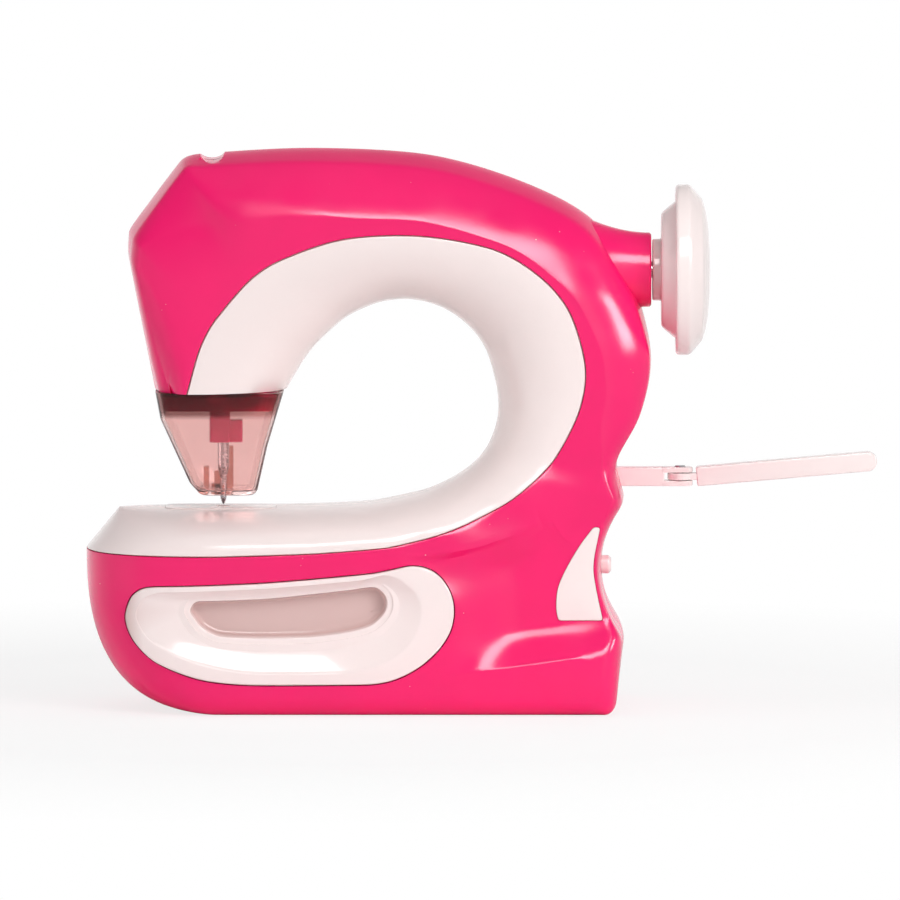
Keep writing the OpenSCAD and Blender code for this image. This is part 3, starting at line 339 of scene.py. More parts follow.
def prism(outline: Array, axis: Axis, low: float, high: float) -> Solid:
    """Outline carried along an axis, with plain ends."""
    return loft(np.stack([standing(outline, axis, at) for at in (low, high)]))


def slab(outline: Array, axis: Axis, low: float, high: float, fillet: float = 0.5) -> Solid:
    """Outline carried along an axis, with a quarter circle at the edge of both ends.

    Args:
        outline: Anticlockwise outline across the axis.
        axis: Axis that it is carried along.
        low: Start along the axis.
        high: End along the axis.
        fillet: Radius of the edges.

    Returns:
        The solid.
    """
    a = np.linspace(0, np.pi / 2, 5)
    inset = np.concatenate([fillet * (1 - np.sin(a)), fillet * (1 - np.cos(a))])
    place = np.concatenate([low + fillet * (1 - np.cos(a)), high - fillet * (1 - np.sin(a))])
    return loft(np.stack([standing(grow(outline, -d), axis, w) for d, w in zip(inset, place)]))


def revolve(
    profile: Array, axis: Axis, centre: tuple[float, float], steps: int = 96, closed: bool = False
) -> Solid:
    """Profile of (radius, place) pairs turned about an axis.

    Args:
        profile: Radii and places along the axis.
        axis: Axis that it turns about.
        centre: The axis's other two coordinates, in the order x, y, z.
        steps: Steps of the turn.
        closed: True for a hollow ring, whose profile ends where it starts.

    Returns:
        The solid.
    """
    a = np.linspace(0, 2 * np.pi, steps, endpoint=False)
    flat = profile[:, None, :1] * np.stack([np.cos(a), np.sin(a)], 1)[None] + np.array(centre)
    place = np.broadcast_to(profile[:, 1:], flat.shape[:2])
    return loft(np.insert(flat, axis.value, place, axis=-1), closed)


def rod(
    axis: Axis, low: float, high: float, r: float, centre: tuple[float, float], chamfer: float = 0.3
) -> Solid:
    """Turned rod with chamfered ends.

    Args:
        axis: Axis of the rod.
        low: Start along the axis.
        high: End along the axis.
        r: Radius.
        centre: The axis's other two coordinates.
        chamfer: Size of the chamfers.

    Returns:
        The solid.
    """
    inner = r - chamfer
    corners = [(0, low), (inner, low), (r, low + chamfer), (r, high - chamfer), (inner, high), (0, high)]
    return revolve(np.array(corners), axis, centre, 48)


# Finishes


def linear(colour: Triple, share: float = 1.0) -> tuple[float, float, float, float]:
    """Scene colour of an eight-bit display colour.

    Args:
        colour: Red, green and blue up to 255.
        share: Scale of the scene colour.

    Returns:
        Red, green, blue and a full alpha.
    """
    c = np.array(colour) / 255
    c = np.where(c <= 0.04045, c / 12.92, ((c + 0.055) / 1.055) ** 2.4)
    return (*np.clip(c * share, 0, 1).tolist(), 1.0)


class Graph:
    """Node tree of a material or a world, with short ways to add and join its nodes."""

    def __init__(self, owner: bpy.types.ID, shader: str = "Principled BSDF", place: str = "Object") -> None:
        """Opens the tree.

        Args:
            owner: The material or the world.
            shader: Name of its shader node.
            place: Coordinates that its textures follow.
        """
        owner.use_nodes = True
        self.owner, self.tree = owner, owner.node_tree
        self.shader = self.tree.nodes[shader]
        self.place = self.add("TexCoord").outputs[place]

    def put(self, socket: Socket, value: object) -> None:
        """Sets an input to a value or joins it to a socket.

        Args:
            socket: The input.
            value: The value or the socket.
        """
        if isinstance(value, Socket):
            self.tree.links.new(value, socket)
        else:
            socket.default_value = value

    def add(self, kind: str, **inputs: object) -> bpy.types.Node:
        """Adds a node.

        Args:
            kind: Kind of the node.
            inputs: Values or sockets for its inputs, with an underscore for a space.

        Returns:
            The node.
        """
        node = self.tree.nodes.new(f"ShaderNode{kind}")
        for name, value in inputs.items():
            self.put(node.inputs[name.replace("_", " ")], value)
        return node

    def feed(self, **inputs: object) -> None:
        """Gives the shader's inputs values or sockets, with an underscore for a space."""
        for name, value in inputs.items():
            self.put(self.shader.inputs[name.replace("_", " ")], value)

    def stretched(self, scale: Triple) -> Socket:
        """Coordinates stretched along the axes."""
        return self.add("Mapping", Scale=scale, Vector=self.place).outputs["Vector"]

    def along(self, axis: Axis) -> Socket:
        """Coordinate along an axis."""
        return self.add("SeparateXYZ", Vector=self.place).outputs[axis.name]

    def noise(self, scale: float, detail: float = 2.0, place: Socket | None = None) -> Socket:
        """Cloudy value from 0 to 1, with a number of waves to the metre."""
        return self.add("TexNoise", Scale=scale, Detail=detail, Vector=place or self.place).outputs["Fac"]

    def cells(self, scale: float) -> Socket:
        """Distance from the nearest of many scattered points."""
        return self.add("TexVoronoi", Scale=scale, Vector=self.place).outputs["Distance"]

    def span(self, value: Socket, low: float, high: float, start: float, end: float) -> Socket:
        """Value taken from one range to another and held at its ends."""
        ends = {"From_Min": low, "From_Max": high, "To_Min": start, "To_Max": end}
        return self.add("MapRange", Value=value, **ends).outputs["Result"]

    def maths(self, operation: str, a: Socket, b: Socket) -> Socket:
        """Two values joined by an operation.

        Args:
            operation: Name of the operation.
            a: First value.
            b: Second value.

        Returns:
            The outcome.
        """
        node = self.add("Math")
        node.operation = operation
        self.put(node.inputs[0], a)
        self.put(node.inputs[1], b)
        return node.outputs[0]

    def blend(self, by: Socket, a: object, b: object) -> Socket:
        """Colour between two others.

        Args:
            by: Share of the second colour.
            a: First colour, as a value or a socket.
            b: Second colour.

        Returns:
            The colour.
        """
        node = self.add("Mix", Factor=by)
        node.data_type = "RGBA"
        for name, value in (("A", a), ("B", b)):
            self.put(next(k for k in node.inputs if k.name == name and k.type == "RGBA"), value)
        return next(k for k in node.outputs if k.type == "RGBA")

    def bump(self, height: Socket, strength: float, depth: float) -> None:
        """Gives the shader a relief from a height value."""
        node = self.add("Bump", Strength=strength, Distance=depth * MM, Height=height)
        self.feed(Normal=node.outputs["Normal"])


@dataclass(frozen=True)
class Stuff:
    """Finish with a name and a display colour, made as a material by its kind of stuff."""

    name: str
    colour: Triple

    def dress(self, g: Graph) -> None:
        """Adds the finish's nodes to a new material's graph."""
        raise NotImplementedError

    def material(self) -> bpy.types.Material:
        """The finish's material, made once.

        Returns:
            The material.
        """
        made = bpy.data.materials.get(self.name)
        if made is None:
            g = Graph(bpy.data.materials.new(self.name))
            self.dress(g)
            made = g.owner
        return made


@dataclass(frozen=True)
class MouldedPlastic(Stuff):
    """Glossy moulded plastic with faint flow clouds, a rippled skin and a few specks of dust.

    Where a depth is given, painted shade darkens the plastic along Y over the last 4 mm up to it, standing in
    for the shade down in a pocket.
    """

    roughness: float = 0.2
    shine: float = 0.36
    cloud: float = 0.04
    ripple: float = 0.05
    dust: float = 0.5
    deep: float | None = None

    def dress(self, g: Graph) -> None:
        """Adds the clouds, the painted shade of a pocket, the specks and the ripples.

        Args:
            g: The new material's graph.
        """
        clouds = g.span(g.noise(26, 3), 0.3, 0.7, 0, 1)
        body = g.blend(clouds, linear(self.colour, 1 - self.cloud), linear(self.colour, 1 + self.cloud))
        if self.deep is not None:
            # Painted shade: the colour turns to a darker shaded tone over the last 4 mm towards the given Y
            shade = g.span(g.along(Axis.Y), (self.deep - 4) * MM, self.deep * MM, 0, 1)
            body = g.blend(shade, body, linear((236, 204, 200), 0.86))
        near = g.span(g.cells(210), 0.035, 0.06, self.dust, 0)
        specks = g.maths("MULTIPLY", near, g.span(g.noise(46, 1), 0.56, 0.64, 0, 1))
        rough = g.span(g.noise(90, 4), 0.3, 0.7, self.roughness - 0.04, self.roughness + 0.05)
        g.feed(Base_Color=g.blend(specks, body, linear((255, 236, 240))), Roughness=rough)
        g.bump(g.noise(420, 2), self.ripple, 0.25)
        g.feed(IOR=1.5, Specular_IOR_Level=self.shine)


@dataclass(frozen=True)
class SmokedPlastic(Stuff):
    """Clear plastic with a warm smoke tint, faint haze, moulding ripples and a dark, streaked band on top,
    which is painted shade of the head seen through it.
    """

    band: Triple
    band_z: float = 106.0

    def dress(self, g: Graph) -> None:
        """Adds the haze, the band of painted shade from its height upwards and the ripples.

        Args:
            g: The new material's graph.
        """
        haze = g.span(g.noise(70, 3), 0.3, 0.7, 0, 1)
        clear = g.blend(haze, linear(self.colour, 0.97), linear(self.colour, 1.02))
        # Painted shade: from the band's height up, the tint turns to the darker, streaked band colour
        high = g.span(g.along(Axis.Z), self.band_z * MM, (self.band_z + 2) * MM, 0, 1)
        streaks = g.span(g.noise(52, 1), 0.5, 0.66, 0, 1)
        dark = g.blend(streaks, linear(self.band), linear(self.band, 1.9))
        rough = g.span(g.noise(120, 3), 0.3, 0.7, 0.05, 0.1)
        g.feed(Base_Color=g.blend(high, clear, dark), Roughness=rough, IOR=1.3, Transmission_Weight=0.96)
        g.bump(g.noise(160, 1), 0.05, 0.3)


@dataclass(frozen=True)
class Metal(Stuff):
    """Worked metal with fine scratches along X and patches of dull handling."""

    roughness: float = 0.26

    def dress(self, g: Graph) -> None:
        """Adds the scratches and the dull patches.

        Args:
            g: The new material's graph.
        """
        lines = g.noise(2600, 3, g.stretched((0.03, 1.0, 1.0)))
        dull = g.span(g.noise(120, 4), 0.35, 0.75, 0, 1)
        rough = g.span(lines, 0.3, 0.7, self.roughness - 0.08, self.roughness + 0.12)
        tint = g.blend(dull, linear(self.colour), linear(self.colour, 0.78))
        g.feed(Base_Color=tint, Roughness=rough, Metallic=1.0)
        g.bump(lines, 0.12, 0.04)


@dataclass(frozen=True)
class Matt(Stuff):
    """Dull moulded stuff, such as nylon or rubber, with a fine tooth and worn patches."""

    roughness: float = 0.5
    tooth: float = 0.2

    def dress(self, g: Graph) -> None:
        """Adds the worn patches and the tooth.

        Args:
            g: The new material's graph.
        """
        worn = g.span(g.noise(80, 4), 0.35, 0.7, 0, 1)
        rough = g.span(g.noise(300, 3), 0.3, 0.7, self.roughness - 0.08, self.roughness + 0.1)
        tint = g.blend(worn, linear(self.colour, 0.93), linear(self.colour, 1.06))
        g.feed(Base_Color=tint, Roughness=rough)
        g.bump(g.noise(1400, 3), self.tooth, 0.06)


PALE_PLASTIC = MouldedPlastic("pale_plastic", (252, 238, 236), roughness=0.16, cloud=0.012, dust=0.0)


class Finish(Enum):
    """Finishes of the machine, each with the record's slot that it dresses."""

    MAGENTA = ("magenta", MouldedPlastic("magenta_plastic", (248, 24, 110)))
    PALE = ("pale", PALE_PLASTIC)
    # The drawer's pale plastic with painted shade in its finger slot
    SHADED_POCKET = ("pale", replace(PALE_PLASTIC, name="drawer_plastic_painted_shade", deep=-35.0))
    # The clamp's plastic is the housing's magenta darkened and dulled: painted shade for its place deep in
    # the head behind the guard
    CLAMP = ("magenta", MouldedPlastic("clamp_plastic_painted_shade", (204, 56, 106), dust=0.0))
    SMOKE = ("smoke", SmokedPlastic("smoked_plastic", (246, 217, 214), (150, 112, 110)))
    RIB = ("smoke", SmokedPlastic("rib_plastic", (204, 150, 138), (150, 112, 110)))
    STEEL = ("steel", Metal("drawn_steel", (196, 196, 200)))
    BRASS = ("brass", Metal("turned_brass", (206, 164, 96)))
    NYLON = ("nylon", Matt("white_nylon", (232, 230, 222)))
    RUBBER = ("rubber", Matt("black_rubber", (38, 38, 40), roughness=0.7, tooth=0.4))
    CELL = ("cell", Matt("cell_sleeve", (84, 92, 104), roughness=0.32, tooth=0.05))

    @property
    def slot(self) -> str:
        """Name of the record's slot."""
        return self.value[0]

    def material(self) -> bpy.types.Material:
        """The finish's material."""
        return self.value[1].material()


# Pieces


def mesh_object(name: str, solid: Solid) -> bpy.types.Object:
    """Object at the origin with the solid in metres, its doubled points merged.

    Args:
        name: Name of the object.
        solid: The solid in millimetres.

    Returns:
        The object, linked to the scene.
    """
    mesh = bpy.data.meshes.new(name)
    mesh.from_pydata(solid.points * MM, [], solid.faces)
    merged = bmesh.new()
    merged.from_mesh(mesh)
    bmesh.ops.remove_doubles(merged, verts=merged.verts, dist=1e-6)
    merged.to_mesh(mesh)
    merged.free()
    mesh.validate()
    obj = bpy.data.objects.new(name, mesh)
    bpy.context.scene.collection.objects.link(obj)
    return obj


def carve(obj: bpy.types.Object, cutters: Sequence[Solid]) -> None:
    """Takes solids out of a piece and keeps the result as its mesh.

    Args:
        obj: The piece.
        cutters: Solids to take out, in millimetres.
    """
    tools = [mesh_object(f"cutter_{k}", cutter) for k, cutter in enumerate(cutters)]
    for tool in tools:
        cut = obj.modifiers.new(tool.name, "BOOLEAN")
        cut.operation = "DIFFERENCE"
        cut.solver = "MANIFOLD"
        cut.object = tool
    shown = obj.evaluated_get(bpy.context.evaluated_depsgraph_get())
    mesh = bpy.data.meshes.new_from_object(shown)
    obj.modifiers.clear()
    obj.data = mesh
    for tool in tools:
        bpy.data.meshes.remove(tool.data)


def piece(
    name: str,
    solid: Solid,
    finish: Finish,
    body: Body,
    nodes: Sequence[str],
    cutters: Sequence[Solid] = (),
    crease: float = 34.0,
) -> bpy.types.Object:
    """Finished piece that rides on a body and stands for nodes of the frame.

    Args:
        name: Name of the piece.
        solid: Its shape.
        finish: Its finish.
        body: Body that it moves with.
        nodes: Nodes that it stands for.
        cutters: Solids that are taken out of it.
        crease: Angle in degrees from which an edge stays sharp.

    Returns:
        The piece's object.
    """
    obj = mesh_object(name, solid)
    if cutters:
        carve(obj, cutters)
    obj.data.materials.clear()
    obj.data.materials.append(finish.material())
    obj.data.polygons.foreach_set("use_smooth", np.ones(len(obj.data.polygons), bool))
    obj.data.set_sharp_from_angle(angle=math.radians(crease))
    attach(obj, body.value)
    if nodes:
        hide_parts(*nodes)
    finish.slot
    LOG.info("%s: %d faces on %s", name, len(obj.data.polygons), body.value)
    return obj


# The housing's rails in the split plane as (x, z): up the head, along the arm, down the column, round
# the heel and along the base to the bow
OUTER_RAIL = (
    (-73.1, 116), (-82.6, 164), (-82.5, 173.6), (-63.5, 198.8), (-56, 201.3), (-16.7, 203.4),
    (27.6, 200.8), (63.3, 190), (88, 175.5), (101.5, 152), (107.3, 128), (103.8, 108), (95, 90.3),
    (97.8, 75.5), (89.2, 51.5), (97.8, 27), (95, 4.6), (90.6, 0), (88.5, 0), (25, 0), (-50, 0),
)
SEAM_RAIL = (
    (-61.1, 116), (-56.8, 131.5), (-51.5, 142), (-39, 156.8), (-28, 164.3), (-5, 172.2), (23.3, 173.5),
    (50, 168.6), (66.5, 158.9), (77.5, 145.8), (83.2, 126), (81, 110), (73, 94), (66, 86), (55, 77.2),
    (40, 69.5), (28, 65.2), (17, 62.5), (10, 61.2), (-15, 59.2), (-50, 58),
)
THROAT_RAIL = (
    (-25, 116), (-19.5, 125.3), (-14.5, 132), (-5, 140.8), (1.5, 144.5), (10, 147.6), (20.5, 148.3),
    (31.5, 145.3), (41, 138.6), (47.3, 129.8), (51.2, 116), (51.5, 105.5), (48.3, 95.7), (43, 88.7),
    (35, 83), (26, 78.8), (17, 76.4), (8, 74.5), (0, 73.6), (-20, 72.8), (-50, 72.6),
)
LAST = len(OUTER_RAIL) - 1
# Directions in and out of the outer rail's sharp stations
CORNERS = {
    2: ((0.0, 1.0), (0.6, 0.8)),
    13: ((0.19, -0.98), (-0.6, -0.8)),
    15: ((0.6, -0.8), (-0.13, -0.99)),
    16: ((-0.13, -0.99), (-0.13, -0.99)),
    17: ((-1.0, 0.0), (-1.0, 0.0)),
}


@dataclass
class Housing:
    """Magenta shells and pale throat panels, lofted on three rails and swung round the bow.

    A shell's section runs from the split plane over its end wall and band to a crease, then across the
    face to the seam. The head's face is turned to the left by drawing its crease back. A panel's section
    is a quarter of a superellipse from the seam to the throat.
    """

    base_half: float = 44.0
    arm_half: float = 31.0
    cove_half: float = 34.5
    lip_half: float = 34.0
    wall: float = 2.4
    seam_z: float = 58.0
    bed_z: float = 72.6
    heel_x: float = 98.0
    waist_x: float = 89.2
    bow_c: float = -50.0
    bow_l: float = 48.0
    bow_foot: float = 5.0
    bow_power: float = 2.4
    flank: float = 12.0
    gap: float = 0.2
    rim: float = 0.4
    groove: float = 0.3
    plinth_z: float = 15.5
    plinth_slope: float = 0.14
    plinth_sweep: float = 0.0104
    plinth_round: float = 0.5
    cove_l: float = 65.0
    cove_blend: float = 28.0
    cove_rise: float = 13.5
    ribbon_l: float = 72.0
    ribbon_slope: float = 0.1
    ribbon_sweep: float = 0.0042
    ribbon_blend: float = 12.0
    ribbon_dip: float = 2.4
    head_turn: float = 7.5
    lip_l: float = 3.0
    lip_t: float = 1.2
    rings_per_station: int = 12
    bow_rings: int = 30

    def __post_init__(self) -> None:
        """Lists the stations and the section sizes along them."""
        self.s = np.linspace(0, LAST, LAST * self.rings_per_station + 1)
        base, arm, cove, lip = self.base_half, self.arm_half, self.cove_half, self.lip_half
        turn = self.head_turn
        tables = {
            "edge": (
                (0, 23 - 0.8 * turn), (3, 21 - 0.6 * turn), (5, 17), (8, 17), (10, 19), (12, 26), (14, 27),
                (15, 30), (16, lip), (17, base - 8), (LAST, base - 8),
            ),
            "inset": (
                (0, 1.6), (3, 2.4), (4, 4.2), (8.3, 3.8), (9.3, 1.6), (10, 0.5), (15, 1), (17, 0), (LAST, 0),
            ),
            "band": (
                (0, 6), (2, 6.5), (3, 24), (4, 28), (5, 24), (6, 22), (7, 22), (8, 24), (9, 20), (10, 17),
                (11, 14), (12, 6), (13, 4.5), (14, 3), (15, 9), (LAST, 9),
            ),
            "crease": (
                (0, arm - turn), (2, arm - turn), (4, arm - 1), (5, arm), (10, arm), (12, cove - 1.5),
                (13, cove), (14, cove), (15, base - 2), (16, base - 0.5), (LAST, base - 0.5),
            ),
            "seam": (
                (0, arm), (10, arm), (12, arm + 1.5), (14, cove + 2.5), (16, base - 1.5), (18, base),
                (LAST, base),
            ),
            "round": (
                (0, 0.6), (4, 0.4), (5, 0.3), (7, 0.35), (9, 0.4), (11, 0.45), (12, 0.6), (13.5, 0.6),
                (15, 1), (LAST, 1),
            ),
            "start": ((17, 0), (18, lip)),
            "ribbon": ((12, 20), (14, 20), (15, 16), (16, 12), (17, 8.5), (18, 6), (19, 4), (LAST, 4)),
            "crown": ((0, 2), (13, 2), (18, 2.4), (LAST, 2.4)),
        }
        self.size = {name: keyed(table, self.s)[:, None] for name, table in tables.items()}
        self.outer = rail(OUTER_RAIL, self.s, CORNERS)
        self.seam, self.throat = rail(SEAM_RAIL, self.s), rail(THROAT_RAIL, self.s)

    def plinth_at(self, x: Array) -> Array:
        """Height of the plinth's edge along the base: a slope that sweeps up by a square near the heel."""
        sweep = self.plinth_sweep * np.maximum(x - self.heel_x + 18, 0) ** 2
        return self.plinth_z + self.plinth_slope * (x - self.heel_x + 60) + sweep

    def cove(self, x: Array, z: Array) -> tuple[Array, Array]:
        """Relief of the base's right end, above the plinth and below the ribbon that follows the seam.

        The cove's share is a product of three steps, right of the drawer, up from the plinth's rounded edge
        and down from the ribbon. The dip under the ribbon is a step down and a slow step back.

        Args:
            x: Places along the base.
            z: Heights.

        Returns:
            The share of the depth that the cove takes, and the dip in millimetres.
        """
        u = np.maximum(x - self.heel_x + self.ribbon_l, 0)
        below = self.seam_z + self.ribbon_slope * u + self.ribbon_sweep * u * u - z
        over = z - self.plinth_at(x)
        lift = 0.5 * (over + np.hypot(over, self.plinth_round))
        rise = 1 - (1 - np.clip(lift / self.cove_rise, 0, 1)) ** 1.5
        right = smooth((x - self.heel_x + self.cove_l) / self.cove_blend)
        share = right * rise * smooth(below / self.ribbon_blend)
        ends = smooth((x - 14) / 22) * (1 - smooth((x - self.heel_x + 52) / 34))
        dip = self.ribbon_dip * smooth(below / 3 + 0.3) * (1 - smooth((below - 4) / 16)) * ends
        return share, dip * rise

    def shell_outline(self) -> Array:
        """Outer sections of a shell as (distance from the outer rail, depth), without the seam's rim.

        The wall bends in by a power, the band is a mix of a chamfer and a quarter ellipse, and the face's
        points gather at the plinth's edge, whose place on each section is found by fixed-point steps.

        Returns:
            Grid of station, point and pair.
        """
        k = self.size
        span = self.seam - self.outer
        length = np.linalg.norm(span, axis=1)[:, None]
        way = span / length
        end = length - self.gap - self.rim
        t = np.concatenate([[0, 0.006, 0.015, 0.04], np.linspace(0.1, 1, 10)])[None]
        wall_q, wall_d = k["inset"] * t**1.4, mix(k["start"], k["edge"], t)
        a = np.linspace(0, 1, 22)[None, 1:]
        turn = a * np.pi / 2
        band_q = mix(k["inset"], k["band"], mix(a, 1 - np.cos(turn), k["round"]))
        band_d = mix(k["edge"], k["crease"], mix(a, np.sin(turn), k["round"]))
        reach = 0 * length
        for _ in range(6):
            edge = self.plinth_at(self.outer[:, :1] + way[:, :1] * reach)
            reach = (edge - self.outer[:, 1:]) / way[:, 1:]
        low = np.clip(reach, mix(k["band"], end, 0.12), mix(k["band"], end, 0.5))
        high = np.maximum(end - k["ribbon"], mix(low, end, 0.6))
        face_q = np.concatenate([
            mix(k["band"], low - 0.9, np.linspace(0, 1, 7)[None, 1:]),
            low + np.array([[-0.5, -0.25, 0, 0.25]]),
            mix(low + 0.4, high, np.linspace(0, 1, 26)[None] ** 1.5),
            mix(high, end, np.linspace(0, 1, 10)[None, 1:]),
        ], 1)
        across = (face_q - k["band"]) / (length - self.gap - k["band"])
        face_d = mix(k["crease"], k["seam"], mix(across, ease(across), self.s[:, None] < 5))
        sides = ((wall_q, band_q, face_q), (wall_d, band_d, face_d))
        grid = np.stack([np.concatenate(side, 1) for side in sides], -1)
        count = wall_q.shape[1] + band_q.shape[1] + 4
        grid[:, :count] = relax(grid, 1, axis=1)[:, :count]
        place = self.outer[:, None] + way[:, None] * grid[..., :1]
        depth, share, dip = grid[..., 1], *self.cove(place[..., 0], place[..., 1])
        grid[..., 1] = depth - share * np.maximum(depth - self.cove_half, 0) - dip
        grid[..., 0] += self.groove * np.clip(1 - grid[..., 1] / self.groove, 0, 1) * (k["start"] < 1)
        return grid

    def inner(self, outline: Array) -> Array:
        """Sections moved inwards by the wall along their normals, the first point along the rail's line.

        Args:
            outline: Grid of station, point and pair.

        Returns:
            The moved grid.
        """
        first, last = outline[:, 1:2] - outline[:, :1], outline[:, -1:] - outline[:, -2:-1]
        t = unit(np.concatenate([first, outline[:, 2:] - outline[:, :-2], last], 1))
        moved = outline + np.stack([t[..., 1], -t[..., 0]], -1) * self.wall
        moved[:, 0] = outline[:, 0] + (self.wall, 0)
        return moved

    def swung(self, ring: Array, reach: Array, foot: float) -> Array:
        """Last section swung round the bow: its depth shrinks as it reaches left, on a superellipse.

        Args:
            ring: The last section's points.
            reach: How far each point goes to the left.
            foot: Height that distances are measured from.

        Returns:
            Grid of step, point and coordinate.
        """
        a = np.linspace(0, np.pi / 2, self.bow_rings)[1:, None]
        power = 2 / self.bow_power
        out, back = np.sin(a) ** power, np.clip(np.cos(a), 0, 1) ** power
        z = np.broadcast_to(foot + ring[None, :, 0], (len(a), len(ring)))
        return np.stack([self.bow_c - reach[None] * out, -ring[None, :, 1] * back, z], -1)

    def laid(self, rings: Array, start: Array, end: Array) -> Array:
        """Sections laid along the lines between two rails.

        Args:
            rings: Grid of station, point and pair.
            start: Rail that distances start from.
            end: Rail that they run to.

        Returns:
            Grid of station, point and coordinate.
        """
        way = unit(end - start)
        flat = start[:, None] + way[:, None] * rings[..., :1]
        return np.stack([flat[..., 0], -rings[..., 1], flat[..., 1]], -1)

    def half_shell(self) -> Solid:
        """Front shell before its openings are cut.

        Returns:
            The solid.
        """
        outline = self.shell_outline()
        end = outline[:, -1]
        steps = ((0.7 * self.rim, -0.25 * self.rim), (self.rim, -self.rim), (self.rim, -self.wall))
        rim = np.stack([end + step for step in steps], 1)
        inside = self.inner(outline)
        rings = np.concatenate([outline, rim, inside[:, ::-3], inside[:, :1]], 1)
        foot = rings[-1]
        full = np.clip(foot[:, 0] / self.seam_z, 0, 1)
        bow = mix(self.bow_foot, self.bow_l, (1 - (1 - full) ** 2.5) ** 0.4)
        hidden = np.arange(len(foot)) >= outline.shape[1] + 2
        reach = bow - np.maximum(self.lip_half + 2 - foot[:, 1], 0) - hidden * 1.5 * self.wall
        bow = self.swung(foot, np.maximum(reach, 2), 0)
        return loft(relax(np.concatenate([self.laid(rings, self.outer, self.seam), bow]), 2))

    def half_panel(self) -> Solid:
        """Front throat panel before its needle plate's pocket is cut.

        Returns:
            The solid.
        """
        k = self.size
        length = np.linalg.norm(self.throat - self.seam, axis=1)[:, None]
        power, seam = 2 / k["crown"], k["seam"]
        first = np.arcsin(((self.gap + self.rim) / length) ** (1 / power))
        t = np.concatenate([np.linspace(0, 0.985, 44), [0.994, 0.998, 1]])[None]
        a = mix(first, np.pi / 2, t)
        curve = np.stack([length * np.sin(a) ** power, seam * np.clip(np.cos(a), 0, 1) ** power], -1)
        inside = self.inner(curve)[:, ::-2][:, :-2]
        inside[:, 0] = np.concatenate([length - self.wall, 0 * length], 1)
        curve[..., 0] -= self.groove * np.clip(1 - curve[..., 1] / self.groove, 0, 1)
        top = curve[:, 0]
        rim = np.stack([top - (self.rim, self.rim), top - (0.7 * self.rim, 0.25 * self.rim)], 1)
        low = (seam - self.wall - self.gap - 0.3)[:, 0]
        same = np.ones_like(low)
        under_lip = low - self.lip_t
        tongue = ((self.lip_l, under_lip), (-self.lip_l, under_lip), (-self.lip_l, low), (self.gap, low))
        lip = np.stack([np.stack([q * same, d], -1) for q, d in tongue], 1)
        rings = np.concatenate([rim, curve, inside, lip], 1)
        foot = rings[-1]
        shown, n = rim.shape[1] + curve.shape[1], len(foot)
        rise = self.bed_z - self.seam_z
        skin = self.bow_l - self.flank * np.clip(foot[:, 0] / rise, 0, 1)
        under = self.bow_l - self.flank * np.clip((foot[:, 0] + self.wall) / rise, 0, 1) - self.wall
        tuck = self.bow_l - 1.5 * self.wall - self.gap - 0.1
        i = np.arange(n)
        reach = np.select([i < shown, i < n - 4, i < n - 2], [skin, under, tuck - self.lip_t], tuck)
        bow = self.swung(foot, reach, self.seam_z)
        return loft(relax(np.concatenate([self.laid(rings, self.seam, self.throat), bow]), 2))

    def front_half(self, x: Array) -> Array:
        """Depth of the base's front at a place along it."""
        u = np.clip((self.bow_c - x) / self.bow_l, 0, 1)
        return self.base_half * (1 - u**self.bow_power) ** (1 / self.bow_power)

    def at_depth(self, outline: Array, back: float) -> Array:
        """Outline laid on the base's front, behind it by a depth."""
        return standing(outline, Axis.Y, back - self.front_half(outline[:, 0]))


SHAFT_Z = 159.0
COLUMN_X = 107.3
NEEDLE_X = -48.2
BUTTON_Z = 51.5
BRACKET_Y = 13.5
BRACKET_Z = 82.5
BRACKET_HALF = 3.4
PIN_X = 118.0
NOTCH = (-52.2, 203.6)
# Screws as x, z and the skin's y
SCREWS = ((-67.6, 140, 31), (-71.1, 174, 31), (-28.5, 22, 44), (25.5, 22, 44), (25.5, 48, 44))

DRAWER_X, DRAWER_Z = 35.6, 11.5
DRAWER_EDGE = (
    (-119, 23.5), (-117, 31), (-113, 34.4), (-107, 35.4), (-68, 37), (-30, 40.4), (-15.5, 43.2),
    (-7.5, 41.2), (-2.1, 35.3), (0, 28), (-1.2, 19.9), (-5.7, 12.7), (-12.9, 6.3), (-22, 1.8),
    (-32, 0.2), (-73, 0), (-92, 2), (-108, 8), (-116, 15.5),
)
DRAWER_DISH = (
    (-115, 24), (-113.5, 29.5), (-110.5, 32), (-105, 33.4), (-68, 35), (-34, 38), (-26, 39.8),
    (-20, 38.4), (-14.5, 33.8), (-12.4, 28.5), (-13.2, 21.5), (-17, 14.8), (-24, 9.2), (-33, 6),
    (-42, 4.6), (-72, 4.4), (-88, 6.8), (-101, 11), (-110.5, 16.5),
)
DRAWER_SLOT = (
    (-95.3, 26.8), (-94, 29.2), (-91.5, 30), (-85, 30.1), (-66, 31), (-40, 33.8), (-31, 35),
    (-27.6, 34.6), (-25, 32), (-24.4, 29), (-25.6, 25.6), (-30, 21.6), (-37, 19.4), (-46, 18),
    (-54, 17.2), (-72, 16.9), (-85, 17.6), (-91, 20.6), (-94.4, 24.8),
)
FIN_LEFT = ((-15.7, 34.2), (-16.5, 38.2), (-16.1, 45.1), (-13.6, 51.7), (-8.5, 60.7), (-3.0, 68.2))
FIN_RIGHT = ((-0.6, 68), (-2.7, 57.5), (-3, 51.7), (-1.6, 43.3), (0.4, 34.2))


def drawer_curve(points: Pairs) -> Array:
    """Closed curve on the drawer's front, clockwise, as (x, z)."""
    return ring_curve(np.array(points) + (DRAWER_X, DRAWER_Z), 14)


